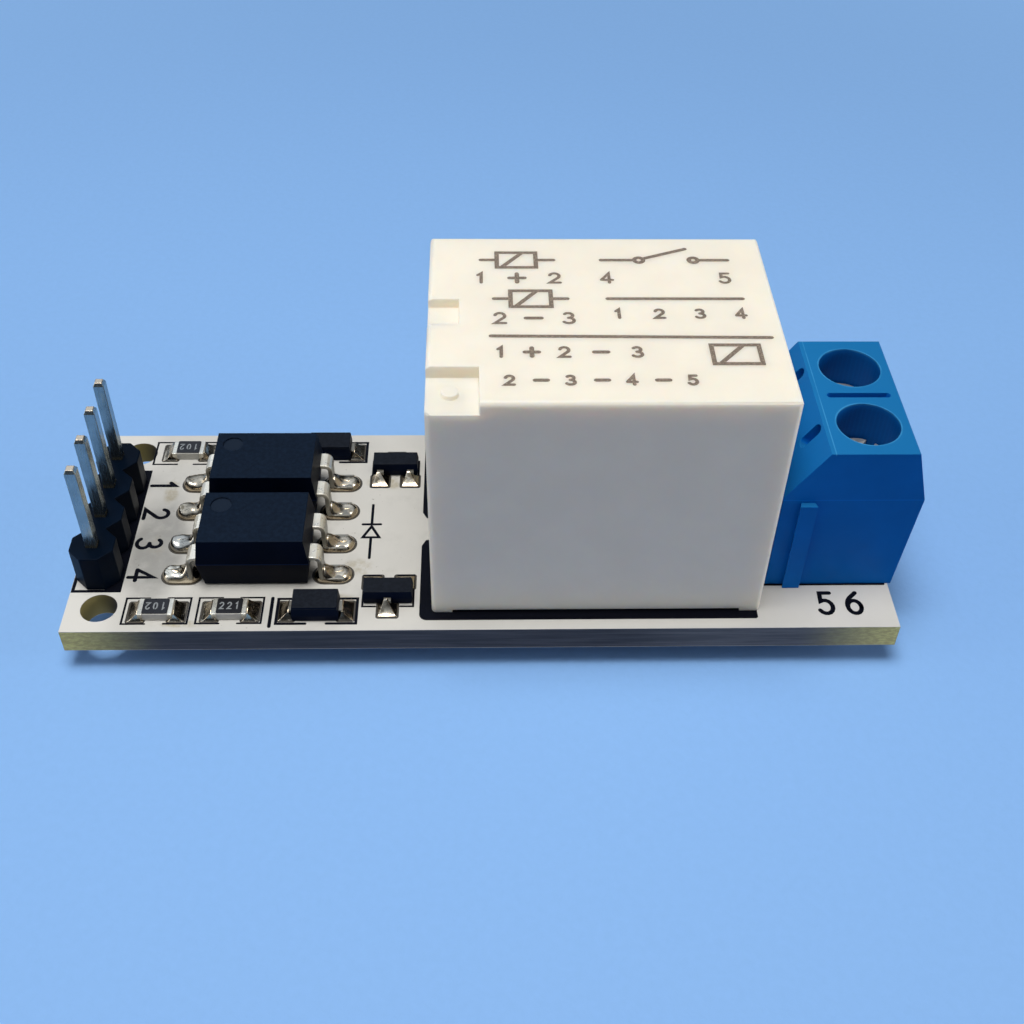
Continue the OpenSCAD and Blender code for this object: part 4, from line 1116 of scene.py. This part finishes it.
class RELAYBOARD_OT_solder(Maker):
    """Lays pads and solder on the board"""

    bl_idname = "relayboard.solder"
    bl_label = "Solder"

    def make(self, scene):
        s = scene.relayboard_solder
        rng = random.Random(7)
        solder = metal("bright_solder", s.colour, s.roughness, 0.35, 0.006, 0.62)
        solder.stain(solder.band(solder.noise(0.42, 3, 0.6), 0.52, 0.66, 0.0, 0.72), BURNT_FLUX)
        # One joint is dull and one is bare tin: two pads of the front optocoupler
        body = span("opto_front_body")[0]
        for y, strength, colour in ((3.22, 0.7, DULL_SOLDER), (0.68, 0.6, BARE_TIN)):
            pad = (body.x - 1.6, body.y + y)
            solder.stain(solder.patch(pad, (1.2, 0.9), 0.9, 1.0, strength), colour)
        rim = Finish("pad_rim", s.ring_colour, 0.55)
        rim.paint(rim.mix(rim.noise(0.3), s.ring_colour, tint(s.ring_colour, 2.0)))
        beads, rims = bmesh.new(), bmesh.new()
        edge = s.rim / MM
        for box, radius, *form in self.pads():
            x0, y0, x1, y1 = box
            bare = rounded_outline(x0 - edge, y0 - edge, x1 + edge, y1 + edge, radius + edge)
            prism(rims, bare, 0, RIM_DEPTH)
            self.bead(beads, rounded_outline(*box, radius), *form, rng)
        add_piece("pad_rims", rims, rim)
        add_piece("solder_beads", beads, solder, replaces=("solder_fillets",), smooth=75)
        self.joints(solder)

    def pads(self):
        """Each pad: its rectangle, corner radius, the bead's ridge, height, form and ramp.

        A ridge is its middle and its half length along X and Y. A form is the two powers that
        the bead's profile rises with: domed where the first is high, hollow where it is 1 and
        the second is high. A ramp is a place, height and width of solder drawn up a lead.
        """
        made = []

        def pad(x, y, half_x, half_y, radius, ridge, height, form, ramp=None):
            """Its x or y is a pair of edges where the half size there is 0."""
            x0, x1 = sorted(x) if half_x == 0 else (x - half_x, x + half_x)
            y0, y1 = sorted(y) if half_y == 0 else (y - half_y, y + half_y)
            made.append(((x0, y0, x1, y1), radius, ridge, height, form, ramp))

        for k in ("front", "rear"):
            middle = middle_of(f"opto_{k}_leads")
            for side in (-1, 1):
                for row in (-1, 1):
                    y = middle.y + row * 1.27
                    leg = middle.x + side * 3.8
                    pad((leg - side * 0.5, middle.x + side * 5.58), y, 0, 0.68, 0.66,
                        (middle.x + side * 4.75, y, 0.42, 0.0), 0.5 if side < 0 else 0.3,
                        (3.5, 0.6), (leg + side * 0.14, y, 0.5, 0.34))
            a, b = span(f"diode_{k}_body")
            y = (a.y + b.y) / 2
            for side, x in ((-1, a.x), (1, b.x)):
                pad((x - side * 0.1, x + side * 0.8), y, 0, 0.72, 0.06,
                    (x + side * 0.18, y, 0.0, 0.42), 0.5, (1.1, 1.4))
            a, b = span(f"transistor_{k}_body")
            turn = 1 if k == "front" else -1
            for dx, side in ((-0.95, turn), (0.95, turn), (0, -turn)):
                x = (a.x + b.x) / 2 + dx
                y = b.y if side > 0 else a.y
                pad(x, (y - side * 0.05, y + side * 0.98), 0.56, 0, 0.05,
                    (x - 0.12, y + side * 0.16, 0.06, 0.0), 0.64, (1.1, 1.45))
        for i in (1, 2, 3):
            a, b = span(f"resistor_{i}_caps")
            y = (a.y + b.y) / 2
            for side, x in ((-1, a.x), (1, b.x)):
                pad((x - side * 0.3, x + side * 0.62), y, 0, 0.74, 0.06,
                    (x + side * 0.03, y, 0.0, 0.52), 0.48, (1.0, 1.5))
        return made

    def bead(self, bm, outline, ridge, height, form, ramp, rng, rings=9):
        """A skin of solder from a pad's rim up to its ridge."""
        phase = [rng.uniform(0, math.tau) for _ in range(3)]
        fine = []
        count = len(outline)
        for i, p in enumerate(outline):
            q = outline[(i + 1) % count]
            parts = max(1, int((Vector(q) - Vector(p)).length / 0.12))
            fine += [tuple(Vector(p).lerp(Vector(q), k / parts)) for k in range(parts)]
        rows = []
        for r in range(rings + 1):
            share = max(0.04, 1 - r / rings)
            row = []
            for x, y in fine:
                near = [max(c - h, min(c + h, v)) for c, h, v in
                        ((ridge[0], ridge[2], x), (ridge[1], ridge[3], y))]
                px = near[0] + (x - near[0]) * share
                py = near[1] + (y - near[1]) * share
                wave = 0.5 * math.sin(4.1 * px + phase[0]) * math.sin(3.7 * py + phase[1])
                wave += 0.35 * math.sin(7.9 * px + 2.0 * py + phase[2])
                z = height * (1 - share ** form[0]) ** form[1]
                z *= 1 + 0.2 * wave * (1 - share ** 6)
                if ramp:
                    d = math.hypot(px - ramp[0], (py - ramp[1]) * 0.55)
                    z += ramp[2] * math.exp(-((d / ramp[3]) ** 2)) * (1 - share ** 5)
                row.append(bm.verts.new(place(px, py, RIM_DEPTH + z)))
            rows.append(row)
        floor = [bm.verts.new((v.co.x, v.co.y, place(0, 0, 0.001).z)) for v in rows[0]]
        rows.insert(0, floor)
        total = len(fine)
        for low, high in zip(rows, rows[1:]):
            for i in range(total):
                j = (i + 1) % total
                bm.faces.new((low[i], low[j], high[j], high[i]))
        bm.faces.new(rows[-1])
        bm.faces.new(list(reversed(floor)))

    def joints(self, solder):
        """Hollow cones of solder round the leads under the board."""
        bm = bmesh.new()
        under = span("board")[0].z
        header, terminal, strip, yoke, coil = leads()
        pins = [(spot, 0.46) for spot in header]
        pins += [(spot, 0.6) for spot in (*terminal, strip, yoke)]
        pins += [(spot, 0.44) for spot in coil]
        # Each row of a cone: how far past the pin's radius, and how deep under the board
        profile = ((0.62, 0.0), (0.60, 0.05), (0.42, 0.16), (0.24, 0.36), (0.12, 0.62),
                   (0.05, 0.88), (-0.02, 1.04), (-0.2, 1.08))
        sides = 28
        for pin, core in pins:
            rows = []
            for past, depth in profile:
                circle = arc(pin.x, pin.y, core + past, core + past, 0, 360, sides)[:-1]
                rows.append([bm.verts.new(place(x, y, under - depth)) for x, y in circle])
            for high, low in zip(rows, rows[1:]):
                for i in range(sides):
                    j = (i + 1) % sides
                    bm.faces.new((high[i], low[i], low[j], high[j]))
            bm.faces.new(rows[0])
            bm.faces.new(list(reversed(rows[-1])))
        add_piece("solder_cones", bm, solder, replaces=("solder_joints",), smooth=60)


class RELAYBOARD_OT_stage(Maker):
    """Sets the camera, the lamps, the surroundings and the floor"""

    bl_idname = "relayboard.stage"
    bl_label = "Stage"

    def make(self, scene):
        s = scene.relayboard_stage
        self.floor(s, CAD_BOX[0][2])
        away = Vector((math.sin(s.azimuth) * math.cos(s.elevation),
                       -math.cos(s.azimuth) * math.cos(s.elevation), math.sin(s.elevation)))
        aim = Vector((0.001536, 0.001132, BOARD_HIGH.z))
        data = bpy.data.cameras.new("camera")
        data.lens, data.sensor_width = s.lens, 36
        data.clip_start, data.clip_end = 0.001, 10
        camera = bpy.data.objects.new("camera", data)
        camera.matrix_world = (self.facing(aim + away * s.distance, aim)
                               @ Matrix.Rotation(s.roll, 4, "Z"))
        scene.collection.objects.link(camera)
        scene.camera = camera
        for name, at, aim, size, power, colour in (
            ("overhead", (-0.018, -0.018, 0.25), (0, 0, 0), 0.11, s.key, (1, 0.985, 0.96)),
            ("left", (-0.22, -0.02, 0.07), (0, 0, 0.005), 0.12, s.fill, (1, 0.96, 0.9)),
            ("right", (0.22, -0.03, 0.05), (0, 0, 0.008), 0.12, s.rim, (1, 0.97, 0.93)),
        ):
            data = bpy.data.lights.new(name, "AREA")
            data.shape, data.size = "SQUARE", size
            data.energy, data.color = power, colour
            lamp = bpy.data.objects.new(name, data)
            lamp.matrix_world = self.facing(Vector(at), Vector(aim))
            scene.collection.objects.link(lamp)
        self.surroundings(scene, s)
        scene.view_settings.view_transform = "Standard"

    def facing(self, at, aim):
        """Where a camera or lamp at a place stands when it looks at another."""
        turn = (aim - at).to_track_quat("-Z", "Y").to_matrix().to_4x4()
        return Matrix.Translation(at) @ turn

    def surroundings(self, scene, s):
        """Even, dim light, and a brighter sky above and to the left for mirrored rays only."""
        world = bpy.data.worlds.new("surroundings")
        world.use_nodes = True
        scene.world = world
        n = Nodes(world.node_tree)
        back = n.tree.nodes["Background"]
        toward = n.add("VectorMath", {0: n.add("TexCoord").outputs["Generated"],
                                      1: Vector((-0.45, 0.15, 0.88)).normalized()},
                       operation="DOT_PRODUCT").outputs["Value"]
        sky = n.band(toward, 0.35, 0.95, s.mirrored * 0.1, s.mirrored * 3)
        path = n.add("LightPath").outputs
        level = n.add("Mix", {0: path["Is Glossy Ray"], 2: s.world, 3: sky}).outputs[0]
        n.put(back.inputs[0], full(s.sky_colour))
        n.put(back.inputs[1], level)
        # Seen straight on, the surroundings carry on where the floor ends
        beyond = n.add("Background", {0: full(s.haze_colour)}).outputs[0]
        both = n.add("MixShader", {0: path["Is Camera Ray"], 1: back.outputs[0], 2: beyond})
        n.put(n.tree.nodes["World Output"].inputs[0], both.outputs[0])

    def floor(self, s, level):
        """A pale sheet that runs on past the edge of the picture."""
        f = Finish("floor_sheet", s.floor_colour, 0.55, Specular_IOR_Level=0.12)
        fine = f.noise(0.5, 3)
        sheet = f.mix(fine, tint(s.floor_colour, 0.97), tint(s.floor_colour, 1.03))
        # Light thrown back onto the part is paler than the sheet itself
        path = f.add("LightPath").outputs
        seen = f.either([path[f"Is {kind} Ray"] for kind in ("Camera", "Glossy", "Transmission")])
        f.paint(f.mix(seen, s.bounce_colour, sheet))
        # Far off, the sheet fades into the even colour of the surroundings
        haze = f.add("Emission", {"Color": full(s.haze_colour)}).outputs[0]
        far = f.product(seen, f.band(f.reach((0, 0, 0), 1000, 1000, 0), 0.06, 0.17))
        faded = f.add("MixShader", {0: far, 1: f.shader.outputs[0], 2: haze}).outputs[0]
        f.put(f.tree.nodes["Material Output"].inputs[0], faded)
        f.bump(fine, 0.03)
        bm = bmesh.new()
        bmesh.ops.create_grid(bm, x_segments=1, y_segments=1, size=1.5)
        bmesh.ops.translate(bm, verts=bm.verts, vec=(0, 0, level))
        mesh = bpy.data.meshes.new("floor")
        bm.to_mesh(mesh)
        bm.free()
        mesh.materials.append(f.material)
        floor = bpy.data.objects.new("floor", mesh)
        bpy.context.scene.collection.objects.link(floor)


# ------------------------------------------------------------------ the add-on


SETTINGS = {
    "relayboard_board": BoardSettings,
    "relayboard_parts": PartSettings,
    "relayboard_solder": SolderSettings,
    "relayboard_relay": RelaySettings,
    "relayboard_terminal": TerminalSettings,
    "relayboard_stage": StageSettings,
}
OPERATORS = (
    RELAYBOARD_OT_board,
    RELAYBOARD_OT_header,
    RELAYBOARD_OT_packages,
    RELAYBOARD_OT_resistors,
    RELAYBOARD_OT_relay,
    RELAYBOARD_OT_terminal,
    RELAYBOARD_OT_solder,
    RELAYBOARD_OT_stage,
)


class RELAYBOARD_PT_panel(bpy.types.Panel):
    """Lists the board's settings and operators."""

    bl_label = "Relay Board"
    bl_space_type = "VIEW_3D"
    bl_region_type = "UI"
    bl_category = "Relay Board"

    def draw(self, context):
        for key, group in SETTINGS.items():
            box = self.layout.box()
            box.label(text=group.__doc__)
            for name in group.__annotations__:
                box.prop(getattr(context.scene, key), name)
        for operator in OPERATORS:
            self.layout.operator(operator.bl_idname)


def register():
    for key, group in SETTINGS.items():
        bpy.utils.register_class(group)
        setattr(bpy.types.Scene, key, PointerProperty(type=group))
    for item in OPERATORS + (RELAYBOARD_PT_panel,):
        bpy.utils.register_class(item)


def unregister():
    for item in reversed(OPERATORS + (RELAYBOARD_PT_panel,)):
        bpy.utils.unregister_class(item)
    for key, group in SETTINGS.items():
        delattr(bpy.types.Scene, key)
        bpy.utils.unregister_class(group)


def main():
    register()
    for operator in OPERATORS:
        group, name = operator.bl_idname.split(".")
        getattr(getattr(bpy.ops, group), name)()


if __name__ == "__main__":
    main()
